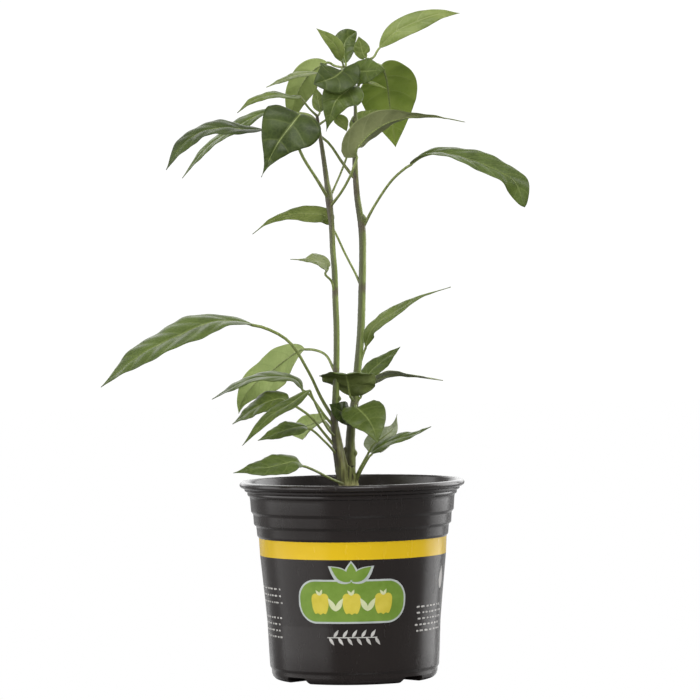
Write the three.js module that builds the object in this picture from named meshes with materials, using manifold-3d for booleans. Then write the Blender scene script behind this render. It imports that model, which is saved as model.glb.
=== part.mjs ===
// Potted bell pepper plant: a nursery pot, its soil, a stem forked at the root collar, and 38 leaves.
// Millimetres, +Z up, +Y away from the front. The origin is the middle of the pot's flat underside.

import * as THREE from 'three';
import { mergeVertices } from 'three/addons/utils/BufferGeometryUtils.js';
import Module from 'manifold-3d';

const wasm = await Module();
wasm.setup();

// Driving dimensions

const potHeight = 96.5;
const potRimRadius = 55;
const potWall = 1.2;
const potSides = 48;
const floorTop = 3.8;
const drainHoles = 4;
const drainHoleRadius = 4;
const drainHoleReach = 24;
const channelWidth = 12;
const channelDepth = 3;
const channelStart = 10;

const fitGap = 0.3;
const soilTop = 86;
const soilLump = 0.8;
const soilSides = 32;

const stemSides = 8;
const collarSink = 22;
const leafThickness = 0.7;
const leafStations = 10;
const stalkStations = 4;
const stalkThickness = 1.5;
const leafFold = 12;
const leafCurl = THREE.MathUtils.degToRad(20);
const edgeWave = 0.8;
const edgeWaves = 2.5;
const fullWaveWidth = 30;
const bladeRise = 0.8;
const wideLeaf = 15;

// Stems: points [x, y, z, radius] from the soil up

const leftStem = [
  [-2.5, 0, 86, 3.2],
  [-3.4, -1, 93.5, 3],
  [-5, -2, 98.6, 2.7],
  [-6.6, -2, 108.5, 2.4],
  [-7.6, -2, 116.1, 2.1],
  [-8.2, -2, 125.8, 2],
  [-7.4, -2, 135.6, 1.8],
  [-6.8, -2, 150, 1.6],
  [-6.4, -2, 168.2, 1.6],
  [-6.7, -2, 184.3, 1.6],
  [-6.9, -2, 198, 1.55],
  [-7.6, -2, 208.7, 1.5],
  [-8, -2, 220.4, 1.5],
  [-8.8, -2, 229, 1.7],
  [-9.1, -2, 234.1, 2],
  [-10.2, -2, 243, 1.35],
  [-11.5, -2, 253.6, 1.2],
  [-12.8, -2, 263, 1.05],
  [-14, -2, 270.2, 1],
  [-14.3, -2, 274.5, 0.8],
];
const rightStem = [
  [0, 1, 86, 3.4],
  [-0.9, 3, 93.5, 3],
  [-0.8, 4, 101.3, 2.8],
  [-0.6, 4, 108.6, 2.8],
  [-0.5, 4, 116, 2.4],
  [0.4, 4, 125.7, 2.2],
  [2, 4, 135.4, 2.1],
  [3.5, 4, 150, 2],
  [5.4, 4, 168.1, 2],
  [6.4, 4, 190.5, 1.95],
  [6.9, 4, 205.6, 1.85],
  [6.9, 4, 216.8, 1.95],
  [6.1, 4, 224.1, 1.8],
  [4.6, 4, 235.3, 1.6],
  [3.9, 4, 248.5, 1.45],
  [4, 4, 262.1, 1.15],
  [4.4, 4, 278.2, 0.95],
  [3.5, 4, 284, 1],
];
const leftFork = [
  [3.5, 4, 283, 0.95],
  [1.5, 4, 290, 0.85],
  [-0.8, 4, 298.5, 0.8],
];
const rightFork = [
  [3.5, 4, 283, 0.95],
  [6.5, 4, 290, 0.85],
  [10.5, 4, 300.5, 0.8],
];
const footShoot = [
  [-1.6, 1, 92, 1.9],
  [-3, 0, 101, 1.7],
  [-4.6, -0.6, 109, 1.6],
  [-6, -1.4, 116, 1.5],
  [-7.6, -2, 124, 1.4],
];
// Dormant buds and leaf scars: [x, y, z, radius]
const buds = [
  [-5.6, -2.6, 136.4, 1.1],
  [7.8, 3.2, 224.4, 1.2],
  [3, 3, 248.6, 1],
  [3.3, 3.4, 272, 0.9],
  [-7, -3.6, 112, 1.2],
  [1.8, 3, 109.5, 1.3],
  [-3.2, 3, 111, 1.2],
  [-2.6, 3, 107, 1],
  [-1.6, 3, 124, 1],
];

// Leaves: the stalk's points start inside the stem and end at the blade, whose points go on to the tip.
// Lean is how far, in degrees, the upper face turns to the front and to the right, at base and at tip.

const leaves = [
  {
    name: 'leaf_low_left_large',
    stalk: [
      [-8.2, -1.5, 126],
      [-14.5, -3, 137],
      [-20.5, -16, 150.5],
      [-30, -25, 165.5],
      [-46.5, -31, 173.5],
    ],
    blade: [[-64.5, -34.5, 175], [-81, -37.5, 169], [-100.5, -39, 159.5], [-119.5, -37.5, 144.5]],
    width: 31,
    lean: [13, 0, 26, 0],
  },
  {
    name: 'leaf_low_left_back',
    stalk: [[-7.5, -2, 149.5], [-12.5, 6, 158], [-22.5, 15.5, 160]],
    blade: [[-32, 25, 154.5], [-41, 32, 147.5], [-48.5, 36, 142], [-54, 40, 134.5], [-56, 42, 128]],
    width: 20,
    lean: [-125, -10, -120, -20],
  },
  {
    name: 'leaf_low_left_upper',
    stalk: [[-8.2, -2, 122.5], [-13, -5, 128.5], [-19.5, -8, 138], [-23, -9, 141]],
    blade: [[-27, -9, 146], [-36, -8.5, 147.5], [-49.5, -8, 146], [-67.5, -7, 137]],
    width: 17,
    lean: [16, 0, 10, 0],
    broadest: 0.45,
  },
  {
    name: 'leaf_low_left_front',
    stalk: [[-7.8, -2, 117.5], [-12.5, -13, 124], [-19, -26, 139.5], [-19.5, -27.5, 141.5]],
    blade: [[-28.5, -36, 135.5], [-39.5, -43, 129], [-52, -47, 116]],
    width: 9,
    lean: [22, 0, 25, 0],
  },
  {
    name: 'leaf_low_left_middle',
    stalk: [[-7.6, -2, 112.5], [-13.5, -5, 120], [-20, -15, 128.5], [-29.5, -18, 135]],
    blade: [[-35, -17.5, 137], [-45, -16, 133.5], [-57.5, -13, 125]],
    width: 17,
    lean: [36, 0, 22, 0],
  },
  {
    name: 'leaf_low_left_small',
    stalk: [[-7.2, -2, 109], [-12.5, -11.5, 115.5], [-21, -18, 123]],
    blade: [[-30.5, -24.5, 122.5], [-45, -27.5, 117.5]],
    width: 13,
    lean: [34, 0, 26, 0],
  },
  {
    name: 'leaf_low_left_pale',
    stalk: [[-9, -2, 120], [-12, 6, 124], [-14, 12.5, 124.5]],
    blade: [[-22, 23, 122], [-31, 30, 118]],
    width: 16.5,
    lean: [-125, -15, -115, -20],
  },
  {
    name: 'leaf_collar_left',
    stalk: [[-4, -3, 94.5], [-11, -17.5, 98.5], [-17.5, -27, 102.5], [-23.5, -33.5, 105.5]],
    blade: [[-28, -36.5, 107.5], [-37.5, -41, 105.5], [-46.5, -44, 104.5], [-56.5, -46, 103]],
    width: 17,
    lean: [32, 0, 34, 0],
    broadest: 0.36,
  },
  {
    name: 'leaf_low_right_pointed',
    stalk: [[3, 4, 135.5], [4.5, 12, 142.5], [4, 17, 141.5]],
    blade: [[9, 20, 147.5], [14.5, 24, 152.5], [25, 30, 160.5]],
    width: 12,
    lean: [55, -30, 35, -15],
  },
  {
    name: 'leaf_shoot_upright',
    stalk: [[1.5, 4, 134.5], [0, -2, 137.5]],
    blade: [[-1, -5.5, 143.5], [-2, -10.5, 148], [-1.5, -20, 148.5]],
    width: 29,
    lean: [20, 0, 0, 0],
  },
  {
    name: 'leaf_shoot_right',
    stalk: [[2.4, 4, 133], [4.5, 3.5, 136.5]],
    blade: [[7.5, 5, 141.5], [13.5, 6, 145.5], [24, 9, 147], [45.5, 13, 144]],
    width: 15,
    lean: [-28, -30, 10, 0],
  },
  {
    name: 'leaf_shoot_front',
    stalk: [[2.4, 4, 132.5], [2.5, -6, 132]],
    blade: [[4, -12, 131], [8, -19, 127], [11, -26, 121.5], [12.5, -30, 115.5]],
    width: 21,
    lean: [54, 4, 72, 0],
    broadest: 0.34,
    rise: 0.6,
    fold: [20, 14],
  },
  {
    name: 'leaf_shoot_front_left',
    stalk: [[1.8, 4, 130], [1.5, 0, 127.5]],
    blade: [[-2.5, -5, 129], [-7, -8.5, 131.5], [-10.5, -10, 134]],
    width: 12,
    lean: [62, -10, 70, -10],
  },
  {
    name: 'leaf_collar_upright',
    stalk: [[1.5, 4, 97], [4.5, -1, 103], [8.5, -4, 110]],
    blade: [[10.5, -4, 113.5], [16, -5, 117.5], [20.5, -6, 121.5], [22.5, -6, 128.5]],
    width: 12.5,
    lean: [-120, 5, -122, 5],
    broadest: 0.3,
  },
  {
    name: 'leaf_collar_right',
    stalk: [[2, 4, 95], [5, -6, 102], [9.5, -13, 109.5]],
    blade: [[14, -15, 113], [18.5, -17, 115.5], [24, -20, 117.5], [30, -23, 119], [38.5, -27, 123]],
    width: 11,
    lean: [32, 0, 22, 0],
  },
  {
    name: 'leaf_mid_right',
    stalk: [[5, 4, 153.5], [7.5, 2.5, 160.5], [7.5, 1, 160.5]],
    blade: [[10, -3, 168.5], [14.5, -8, 173.5], [22.5, -13, 178.5], [33.5, -20, 185], [49, -26, 190]],
    width: 10,
    lean: [52, 0, 30, 0],
    broadest: 0.33,
    rise: 1.1,
  },
  {
    name: 'leaf_high_right_large',
    stalk: [[7, 4, 219], [13, 1, 230], [21.5, -7, 242], [30.5, -14, 249.5]],
    blade: [
      [37, -17, 253.5],
      [45.5, -21, 254.5],
      [57.5, -26, 251.5],
      [69.5, -31, 246.5],
      [80, -36, 239.5],
      [84.5, -39, 227.5],
    ],
    width: 20,
    lean: [8, -10, 16, -18],
    broadest: 0.45,
    fold: [20, 16],
    rise: 0.55,
  },
  {
    name: 'leaf_mid_left',
    stalk: [[6.5, 4, 189], [3.5, 5.5, 196.5], [-1.5, 7, 206.5], [-6, 7, 216.5], [-8.5, 7, 221]],
    blade: [[-11.5, 7, 225.5], [-20, 7, 226.5], [-29.5, 7, 226], [-38.5, 7, 223], [-47, 7.5, 217]],
    width: 12,
    lean: [52, 0, 18, 0],
    broadest: 0.28,
    rise: 0.65,
  },
  {
    name: 'leaf_mid_left_small',
    stalk: [[-7, -2, 187.5], [-8.5, -5, 193.5], [-11.5, -8, 197], [-10, -7.5, 200]],
    blade: [[-12, -9, 202], [-16, -13, 203.5], [-22, -17, 204], [-28.5, -21, 204.5]],
    width: 13,
    lean: [52, 8, 18, 0],
    broadest: 0.22,
  },
  {
    name: 'leaf_high_front',
    stalk: [[-8.5, -2, 230], [-3.5, -11.5, 236], [0.5, -18, 242.5], [3.5, -23, 249], [4.5, -22, 253]],
    blade: [
      [4, -24, 256],
      [7, -25, 260],
      [11.5, -26, 264.5],
      [20, -27.5, 269.5],
      [31, -28, 271.8],
      [44, -28, 271.5],
      [57, -28, 269],
    ],
    width: 19.5,
    lean: [-75, -45, 14, 0],
    fold: [44, 12],
    broadest: 0.2,
    rise: 0.55,
  },
  {
    name: 'leaf_high_left_hanging',
    stalk: [
      [-9.5, -2, 234],
      [-14.5, -10, 242.5],
      [-21.5, -18, 254],
      [-24.5, -25, 263],
      [-24, -30.5, 269.5],
      [-22, -34.5, 273.5],
    ],
    blade: [[-25, -41, 270], [-33.5, -47, 258.5], [-41, -52, 243.2]],
    width: 29.5,
    lean: [78, -5, 88, -5],
    broadest: 0.25,
    rise: 0.7,
    fold: [16, 12],
  },
  {
    name: 'leaf_high_left_front',
    stalk: [
      [3, 4, 244],
      [-2.5, 4, 251.5],
      [-10.5, 2.5, 262.5],
      [-22.5, -4, 267.5],
      [-40.5, -10.5, 267.5],
    ],
    blade: [
      [-49, -13, 267.5],
      [-60, -14.5, 268.5],
      [-71.5, -15.5, 266],
      [-80.5, -16.5, 259],
      [-87.5, -17, 248.5],
    ],
    width: 22,
    lean: [19, 0, 18, 0],
  },
  {
    name: 'leaf_high_left_back',
    stalk: [[-14, -2, 271], [-20, 7.5, 275.5], [-35, 15, 276.5]],
    blade: [
      [-41, 19, 276.5],
      [-49, 22, 273],
      [-59, 26, 267.5],
      [-68.5, 30, 261],
      [-75.5, 33, 253.5],
      [-82, 35, 245.5],
    ],
    width: 15,
    lean: [34, 0, 22, 0],
  },
  {
    name: 'leaf_crown_left',
    stalk: [[-14.3, -2, 274], [-18, -7, 277.5], [-21.5, -13, 282], [-22.5, -14, 283.5]],
    blade: [
      [-25.5, -18, 282.5],
      [-31.5, -22, 283.5],
      [-38, -25, 283],
      [-45.5, -27, 280.5],
      [-52.5, -28, 275],
    ],
    width: 11,
    lean: [22, 0, 18, 0],
  },
  {
    name: 'leaf_crown_left_narrow',
    stalk: [[0.3, 4, 294], [-6.5, -4, 294.5], [-13.5, -12, 294.5]],
    blade: [[-24.5, -17, 293], [-38.5, -20, 287.5]],
    width: 9,
    lean: [20, 0, 16, 0],
  },
  {
    name: 'leaf_crown_left_pale',
    stalk: [[-0.5, 4, 297.5], [-5.5, 12, 299], [-9, 12, 300.5]],
    blade: [[-16, 18, 297], [-21.5, 25, 291], [-25.5, 30, 282.5], [-28, 33, 270]],
    width: 15,
    lean: [-108, 0, -100, 0],
  },
  {
    name: 'leaf_crown_dark_left',
    stalk: [[-0.5, 4, 297], [-2, -6, 296]],
    blade: [[-2, -12, 295], [-6.5, -19, 291.5], [-15.5, -24, 288.5]],
    width: 21,
    lean: [68, -5, 76, -5],
    rise: 0.6,
  },
  {
    name: 'leaf_crown_dark_right',
    stalk: [[0.9, 4, 292.4], [2.5, -3, 294.8]],
    blade: [[4, -5, 295.5], [10, -9, 295], [19, -13, 295.5]],
    width: 15,
    lean: [66, 0, 62, 0],
  },
  {
    name: 'leaf_crown_front',
    stalk: [[4.5, 4, 285.5], [4.5, -8, 288]],
    blade: [[0.5, -15, 285.5], [-5.5, -21, 279.5], [-10, -22, 265.5]],
    width: 19,
    lean: [80, -12, 88, -14],
    broadest: 0.32,
  },
  {
    name: 'leaf_crown_slender',
    stalk: [[6.3, 4, 289.5], [7.5, 3, 290.2], [7.5, 1, 290.5]],
    blade: [[11, 0.5, 290], [15.5, -0.5, 288.5], [20, -1.5, 286.5]],
    width: 5,
    lean: [16, 0, 16, 0],
  },
  {
    name: 'leaf_crown_right_pale',
    stalk: [[11, 4, 299], [17, 10.5, 298.5]],
    blade: [[20, 23, 292], [21.6, 36, 279.5], [24.2, 42.5, 259.5]],
    width: 29.5,
    lean: [-98, 0, -92, 0],
  },
  {
    name: 'leaf_crown_right_high',
    stalk: [[12, 4, 301.5], [14, 5.5, 303], [16.5, 6.5, 307]],
    blade: [[24, 9, 314.5], [32.5, 12, 319], [45, 16.5, 323.5], [56.5, 22.5, 324.5]],
    width: 11,
    lean: [70, 0, 58, 0],
  },
  {
    name: 'leaf_tip_left',
    stalk: [[-1, 4, 298], [-2, -3, 301]],
    blade: [[-5, -8.5, 308], [-14, -13, 316]],
    width: 7,
    lean: [75, 0, 75, 0],
  },
  {
    name: 'leaf_tip_back',
    stalk: [[-0.2, 4, 296], [0, 9, 300]],
    blade: [[-1, 13, 306], [0.5, 16, 312], [5.5, 19, 316]],
    width: 12,
    lean: [90, 0, 90, 0],
    broadest: 0.5,
  },
  {
    name: 'leaf_tip_right',
    stalk: [[10.2, 4, 299.5], [10, 6.5, 302.5]],
    blade: [[8.5, 6.8, 304.5], [6.5, 7.5, 313]],
    width: 8,
    lean: [90, 0, 90, 0],
  },
  {
    name: 'leaf_axil_left',
    stalk: [[-14.3, -2, 273.6], [-13, 3, 276]],
    blade: [[-13.5, 6, 280.5], [-15, 8.5, 288.5]],
    width: 6.5,
    lean: [90, 0, 90, 0],
  },
  {
    name: 'leaf_axil_small',
    stalk: [[-13.9, -2, 269.5], [-9, -5, 272.5], [-6, -8, 273]],
    blade: [[-2.5, -10, 271], [0, -11, 266]],
    width: 7,
    lean: [70, 20, 70, 20],
  },
  {
    name: 'leaf_axil_right',
    stalk: [[-9, -2, 233], [-7, 4.5, 238], [-3, 12.5, 247], [0.5, 17.5, 256.5], [3, 19, 266.5]],
    blade: [[5.5, 17.5, 271.5], [9.5, 16, 274.5], [15, 15, 277.5]],
    width: 9,
    lean: [58, 0, 40, 0],
  },
];

// Solids

function toManifold(geometry) {
  const bare = geometry.clone();
  bare.deleteAttribute('normal');
  bare.deleteAttribute('uv');
  const merged = mergeVertices(bare, 1e-4);
  return new wasm.Manifold(new wasm.Mesh({
    numProp: 3,
    vertProperties: new Float32Array(merged.attributes.position.array),
    triVerts: new Uint32Array(merged.index.array),
  }));
}

function toGeometry(solid) {
  const mesh = solid.getMesh();
  const geometry = new THREE.BufferGeometry();
  geometry.setAttribute('position', new THREE.BufferAttribute(new Float32Array(mesh.vertProperties), 3));
  geometry.setIndex(new THREE.BufferAttribute(new Uint32Array(mesh.triVerts), 1));
  geometry.computeVertexNormals();
  return geometry;
}

// A closed skin over rings of points, each with the same number, wound the same way
function loft(rings, caps) {
  const sides = rings[0].length;
  const indices = [];
  for (let i = 0; i + 1 < rings.length; i += 1) {
    for (let j = 0; j < sides; j += 1) {
      const near = i * sides + j;
      const next = i * sides + (j + 1) % sides;
      indices.push(near, next, next + sides, near, next + sides, near + sides);
    }
  }
  const last = (rings.length - 1) * sides;
  for (const [a, b, c] of caps) {
    indices.push(a, c, b, last + a, last + b, last + c);
  }
  const geometry = new THREE.BufferGeometry();
  geometry.setAttribute('position', new THREE.Float32BufferAttribute(
    rings.flat().flatMap((point) => point.toArray()), 3));
  geometry.setIndex(indices);
  return geometry;
}

function fan(sides) {
  return Array.from({ length: sides - 2 }, (unused, i) => [0, i + 1, i + 2]);
}

// Stem

function stemGeometry(points, grow) {
  const places = points.map(([x, y, z]) => new THREE.Vector3(x, y, z));
  const route = new THREE.CatmullRomCurve3(places, false, 'catmullrom');
  const rings = points.map(([x, y, z, radius], i) => {
    const along = route.getTangent(i / (points.length - 1));
    const side = new THREE.Vector3(0, 1, 0).cross(along).normalize();
    const front = along.clone().cross(side);
    return Array.from({ length: stemSides }, (unused, j) => {
      const angle = (2 * Math.PI * j) / stemSides;
      return new THREE.Vector3(x, y, z)
        .addScaledVector(side, Math.cos(angle) * (radius + grow))
        .addScaledVector(front, Math.sin(angle) * (radius + grow));
    });
  });
  return loft(rings, fan(stemSides));
}

function stemSolid(grow) {
  const root = new THREE.LatheGeometry([
    new THREE.Vector2(0, soilTop - collarSink - grow),
    new THREE.Vector2(1.2 + grow, soilTop - collarSink - grow),
    new THREE.Vector2(3.4 + grow, soilTop - 6),
    new THREE.Vector2(4.6 + grow, soilTop + 3),
    new THREE.Vector2(4.4 + grow, soilTop + 8),
    new THREE.Vector2(3 + grow, soilTop + 11.5 + grow),
    new THREE.Vector2(0, soilTop + 12.5 + grow),
  ], 12);
  root.rotateX(Math.PI / 2);
  root.translate(-1.6, 1, 0);
  let solid = toManifold(root);
  for (const points of [leftStem, rightStem, leftFork, rightFork, footShoot]) {
    solid = solid.add(toManifold(stemGeometry(points, grow)));
  }
  for (const [x, y, z, radius] of buds) {
    const bud = new THREE.IcosahedronGeometry(radius + grow, 0);
    bud.scale(1, 1, 1.4);
    bud.translate(x, y, z);
    solid = solid.add(toManifold(bud));
  }
  return solid;
}

// Leaves

function bladeShare(u, broadest, rise) {
  const fall = (rise * (1 - broadest)) / broadest;
  const shape = (x) => x ** rise * (1 - x) ** fall;
  return shape(u) / shape(broadest);
}

function resample(route, from, to, count) {
  const fine = Array.from({ length: 121 }, (unused, i) => route.getPoint(from + ((to - from) * i) / 120));
  const lengths = [0];
  for (let i = 1; i < fine.length; i += 1) {
    lengths.push(lengths[i - 1] + fine[i].distanceTo(fine[i - 1]));
  }
  return Array.from({ length: count + 1 }, (unused, i) => {
    const target = (lengths[120] * i) / count;
    const found = Math.max(1, lengths.findIndex((length) => length >= target - 1e-9));
    const part = (target - lengths[found - 1]) / (lengths[found] - lengths[found - 1]);
    return fine[found - 1].clone().lerp(fine[found], part);
  });
}

function leafGeometry(leaf) {
  const { stalk, blade, width, lean, broadest = 0.4, rise = bladeRise, fold = [leafFold, leafFold] } = leaf;
  const points = [...stalk, ...blade].map(([x, y, z]) => new THREE.Vector3(x, y, z));
  const route = new THREE.CatmullRomCurve3(points, false, 'catmullrom');
  const neck = (stalk.length - 1) / (points.length - 1);
  const rib = resample(route, neck, 1, leafStations);
  const stem = resample(route, 0, neck, stalkStations).slice(0, -1);
  const centres = [...stem, ...rib];
  const across = width > wideLeaf ? [-1, -0.5, 0, 0.5, 1] : [-1, 0, 1];
  const radius = Math.min(stalkThickness, 0.9 + width / 50) / 2;
  const ripple = edgeWave * Math.min(1, width / fullWaveWidth);
  let lastSide = null;
  const rings = centres.map((unused, k) => {
    const i = centres.length - 1 - k;
    const centre = centres[i];
    const before = centres[Math.max(0, i - 1)];
    const after = centres[Math.min(centres.length - 1, i + 1)];
    const along = after.clone().sub(before).normalize();
    const u = Math.max(0, (i - stem.length) / leafStations);
    const forward = THREE.MathUtils.degToRad(THREE.MathUtils.lerp(lean[0], lean[2], u));
    const right = THREE.MathUtils.degToRad(THREE.MathUtils.lerp(lean[1], lean[3], u));
    const face = new THREE.Vector3(
      Math.sin(right),
      -Math.sin(forward) * Math.cos(right),
      Math.cos(forward) * Math.cos(right),
    );
    const side = face.cross(along).normalize();
    if (lastSide && lastSide.dot(side) < 0) {
      side.negate();
    }
    lastSide = side;
    const up = along.clone().cross(side);
    const half = (width / 2) * bladeShare(u, broadest, rise);
    const folded = THREE.MathUtils.degToRad(THREE.MathUtils.lerp(fold[0], fold[1], u));
    const spread = Math.max(half, radius);
    const bladeness = half / (half + radius);
    const settle = Math.min(1, 5 * u, 5 * (1 - u));
    const section = (share, level) => {
      const q = Math.abs(share);
      const bent = (Math.sin(folded) - Math.sin(folded - leafCurl * q)) / leafCurl;
      const lift = (Math.cos(folded - leafCurl * q) - Math.cos(folded)) / leafCurl;
      const phase = share < 0 ? 1.9 : 0;
      const wave = ripple * Math.sin(2 * Math.PI * edgeWaves * u + phase) * q * q * settle;
      const flat = leafThickness / 2;
      const round = radius * Math.sqrt(Math.max(0.16, 1 - q * q));
      const thick = THREE.MathUtils.lerp(round, flat, bladeness);
      return centre.clone()
        .addScaledVector(side, Math.sign(share) * bent * spread)
        .addScaledVector(up, lift * half + wave * bladeness + level * thick);
    };
    const top = across.map((share) => section(share, 1));
    const bottom = across.map((share) => section(share, -1));
    return [...top, ...bottom.reverse()];
  }).reverse();
  return { rings, across: across.length };
}

// The skin of a blade: the upper and the lower face are split along the same diagonals
function leafSkin({ rings, across }) {
  const sides = 2 * across;
  const lower = (k) => sides - 1 - k;
  const indices = [];
  const quad = (a, b, c, d) => indices.push(a, b, c, a, c, d);
  for (let i = 0; i + 1 < rings.length; i += 1) {
    const here = i * sides;
    const there = here + sides;
    for (let k = 0; k + 1 < across; k += 1) {
      quad(here + k + 1, here + k, there + k, there + k + 1);
      quad(there + lower(k), here + lower(k), here + lower(k + 1), there + lower(k + 1));
    }
    quad(here, here + lower(0), there + lower(0), there);
    quad(here + lower(across - 1), here + across - 1, there + across - 1, there + lower(across - 1));
  }
  const last = (rings.length - 1) * sides;
  for (let k = 0; k + 1 < across; k += 1) {
    quad(k, k + 1, lower(k + 1), lower(k));
    quad(last + k + 1, last + k, last + lower(k), last + lower(k + 1));
  }
  const geometry = new THREE.BufferGeometry();
  geometry.setAttribute('position', new THREE.Float32BufferAttribute(
    rings.flat().flatMap((point) => point.toArray()), 3));
  geometry.setIndex(indices);
  return geometry;
}

// Pot

function potSolid() {
  const outer = [
    [0, 0],
    [37.6, 0],
    [38.8, 0.5],
    [39.9, 1.6],
    [40.5, 3],
    [40.6, 5.2],
    [41.3, 6.4],
    [41.7, 14],
    [42.3, 28],
    [43.2, 38],
    [45.5, 61.3],
    [45.9, 69.2],
    [46.6, 70],
    [47.1, 74.4],
    [48.2, 75.6],
    [48.5, 80.4],
    [49.5, 81.8],
    [50, 88],
    [50.8, 91],
    [52.4, 91.8],
    [53.2, 93.2],
    [54.6, 93.8],
    [potRimRadius, 94.9],
    [54.4, 96.1],
    [53.4, potHeight],
    [52.2, potHeight],
    [51.6, 95.9],
  ];
  const inner = [
    [50.2, 92.3],
    [50 - potWall, 88.2],
    [49.6 - potWall, 82.8],
    [48.5 - potWall, 81.2],
    [48.2 - potWall, 76.4],
    [47.2 - potWall, 75],
    [46.7 - potWall, 70.8],
    [45.9 - potWall, 69.8],
    [45.5 - potWall, 61.3],
    [43.2 - potWall, 38],
    [42.3 - potWall, 28],
    [41.5 - potWall, 9],
    [39.2, floorTop + 0.8],
    [37.8, floorTop],
    [0, floorTop],
  ];
  const profile = [...outer, ...inner].map(([radius, height]) => new THREE.Vector2(radius, height));
  const body = new THREE.LatheGeometry(profile, potSides);
  body.rotateX(Math.PI / 2);
  let solid = toManifold(body);
  for (let i = 0; i < drainHoles; i += 1) {
    const angle = ((i + 0.5) * 2 * Math.PI) / drainHoles;
    const length = potRimRadius - channelStart;
    const channel = new THREE.BoxGeometry(length, channelWidth, 2 * channelDepth);
    channel.translate(channelStart + length / 2, 0, 0);
    channel.rotateZ(angle);
    const hole = new THREE.CylinderGeometry(drainHoleRadius, drainHoleRadius, 4 * floorTop, 16);
    hole.rotateX(Math.PI / 2);
    hole.translate(drainHoleReach * Math.cos(angle), drainHoleReach * Math.sin(angle), 0);
    solid = solid.subtract(toManifold(channel)).subtract(toManifold(hole));
  }
  return solid;
}

// Soil

function soilSolid(hole) {
  const wall = [
    [37.8 - fitGap, floorTop + fitGap],
    [39.2 - fitGap, floorTop + 0.8 + fitGap],
    [41.5 - potWall - fitGap, 9],
    [42.3 - potWall - fitGap, 28],
    [43.2 - potWall - fitGap, 38],
    [45.5 - potWall - fitGap, 61.3],
    [45.9 - potWall - fitGap, 70.2],
    [46.7 - potWall - fitGap, 71.2],
    [47.2 - potWall - fitGap, 75.4],
    [48.2 - potWall - fitGap, 76.8],
    [48.5 - potWall - fitGap, 81.6],
    [49.4 - potWall - fitGap, soilTop - 1.4],
  ];
  const topRings = [42, 34, 25, 16, 8];
  const profile = [
    new THREE.Vector2(0, floorTop + fitGap),
    ...wall.map(([radius, height]) => new THREE.Vector2(radius, height)),
    ...topRings.map((radius) => new THREE.Vector2(radius, soilTop)),
    new THREE.Vector2(0, soilTop),
  ];
  const body = new THREE.LatheGeometry(profile, soilSides);
  body.rotateX(Math.PI / 2);
  const place = body.attributes.position;
  for (let i = 0; i < place.count; i += 1) {
    if (place.getZ(i) > soilTop - 0.01) {
      const x = place.getX(i);
      const y = place.getY(i);
      const lumps = Math.sin(0.31 * x + 0.8) * Math.cos(0.27 * y)
        + 0.7 * Math.sin(0.62 * x - 0.41 * y) + 0.5 * Math.cos(0.9 * y + 0.5 * x);
      place.setZ(i, soilTop + soilLump * lumps);
    }
  }
  return toManifold(body).subtract(hole);
}

// Materials

const potPlastic = new THREE.MeshStandardMaterial({ color: 0x2e2a29, roughness: 0.42, metalness: 0 });
const pottingSoil = new THREE.MeshStandardMaterial({ color: 0x3a2a1e, roughness: 0.95, metalness: 0 });
const stemBark = new THREE.MeshStandardMaterial({ color: 0x6d7a45, roughness: 0.55, metalness: 0 });
const leafGreen = new THREE.MeshStandardMaterial({ color: 0x46582c, roughness: 0.45, metalness: 0 });

// Assembly

const plant = new THREE.Group();

function addPart(name, geometry, material) {
  const mesh = new THREE.Mesh(geometry, material);
  mesh.name = name;
  plant.add(mesh);
}

const stemRoom = stemSolid(fitGap);
addPart('pot', toGeometry(potSolid()), potPlastic);
addPart('soil', toGeometry(soilSolid(stemRoom)), pottingSoil);
addPart('stem', toGeometry(stemSolid(0)), stemBark);
for (const leaf of leaves) {
  const solid = toManifold(leafSkin(leafGeometry(leaf))).subtract(stemRoom);
  addPart(leaf.name, toGeometry(solid), leafGreen);
}

export default plant;
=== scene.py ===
# Potted bell pepper plant: a nursery pot, its soil, a stem forked at the root collar, and 38 leaves,
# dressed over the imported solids. Sizes are in millimetres and are turned into metres where a mesh is placed.

import math
import random

import bmesh
import bpy
from mathutils import Matrix, Vector, noise


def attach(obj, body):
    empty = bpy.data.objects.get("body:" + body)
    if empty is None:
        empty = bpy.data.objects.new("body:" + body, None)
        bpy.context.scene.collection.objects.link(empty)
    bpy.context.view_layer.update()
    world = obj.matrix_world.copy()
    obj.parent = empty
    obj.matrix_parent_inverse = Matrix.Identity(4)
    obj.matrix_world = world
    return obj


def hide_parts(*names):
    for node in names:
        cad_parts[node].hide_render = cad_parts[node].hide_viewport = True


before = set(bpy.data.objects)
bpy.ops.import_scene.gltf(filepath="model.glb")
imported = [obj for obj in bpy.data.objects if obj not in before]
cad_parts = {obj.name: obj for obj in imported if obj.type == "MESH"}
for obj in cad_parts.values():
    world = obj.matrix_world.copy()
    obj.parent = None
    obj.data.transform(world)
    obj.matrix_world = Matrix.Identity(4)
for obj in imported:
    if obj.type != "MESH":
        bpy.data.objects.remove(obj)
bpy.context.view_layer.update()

# ---------------------------------------------------------------- Camera, floor and light
# The pot stands on a plain polished floor, seen white like the ground behind. A tall soft light stands along
# the left side, one hangs over the front, one at the right and one at the back rim the plant, and one in front
# fills the shade.

EYE = (0.0, -1.950, 0.199)
EYE_TILT, EYE_ROLL = 88.85, -0.85
LENS, SIGHT_END = 205.7, 20
FLOOR_SIZE, FLOOR_GREY, FLOOR_ROUGHNESS = 8, 0.20, 0.14
SKY_SEEN, SKY_FRONT, SKY_BACK, SKY_TURN = 1.05, 0.16, 0.50, (-0.8, 0.3)


def pick(*pieces):
    """Selects these pieces alone and makes the first of them active."""
    bpy.ops.object.select_all(action="DESELECT")
    for piece in pieces:
        piece.select_set(True)
    bpy.context.view_layer.objects.active = pieces[0]


def added(operator, **sizes):
    """Deselects everything, adds an object with an operator, and hands it back."""
    bpy.ops.object.select_all(action="DESELECT")
    operator(**sizes)
    return bpy.context.object


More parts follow.
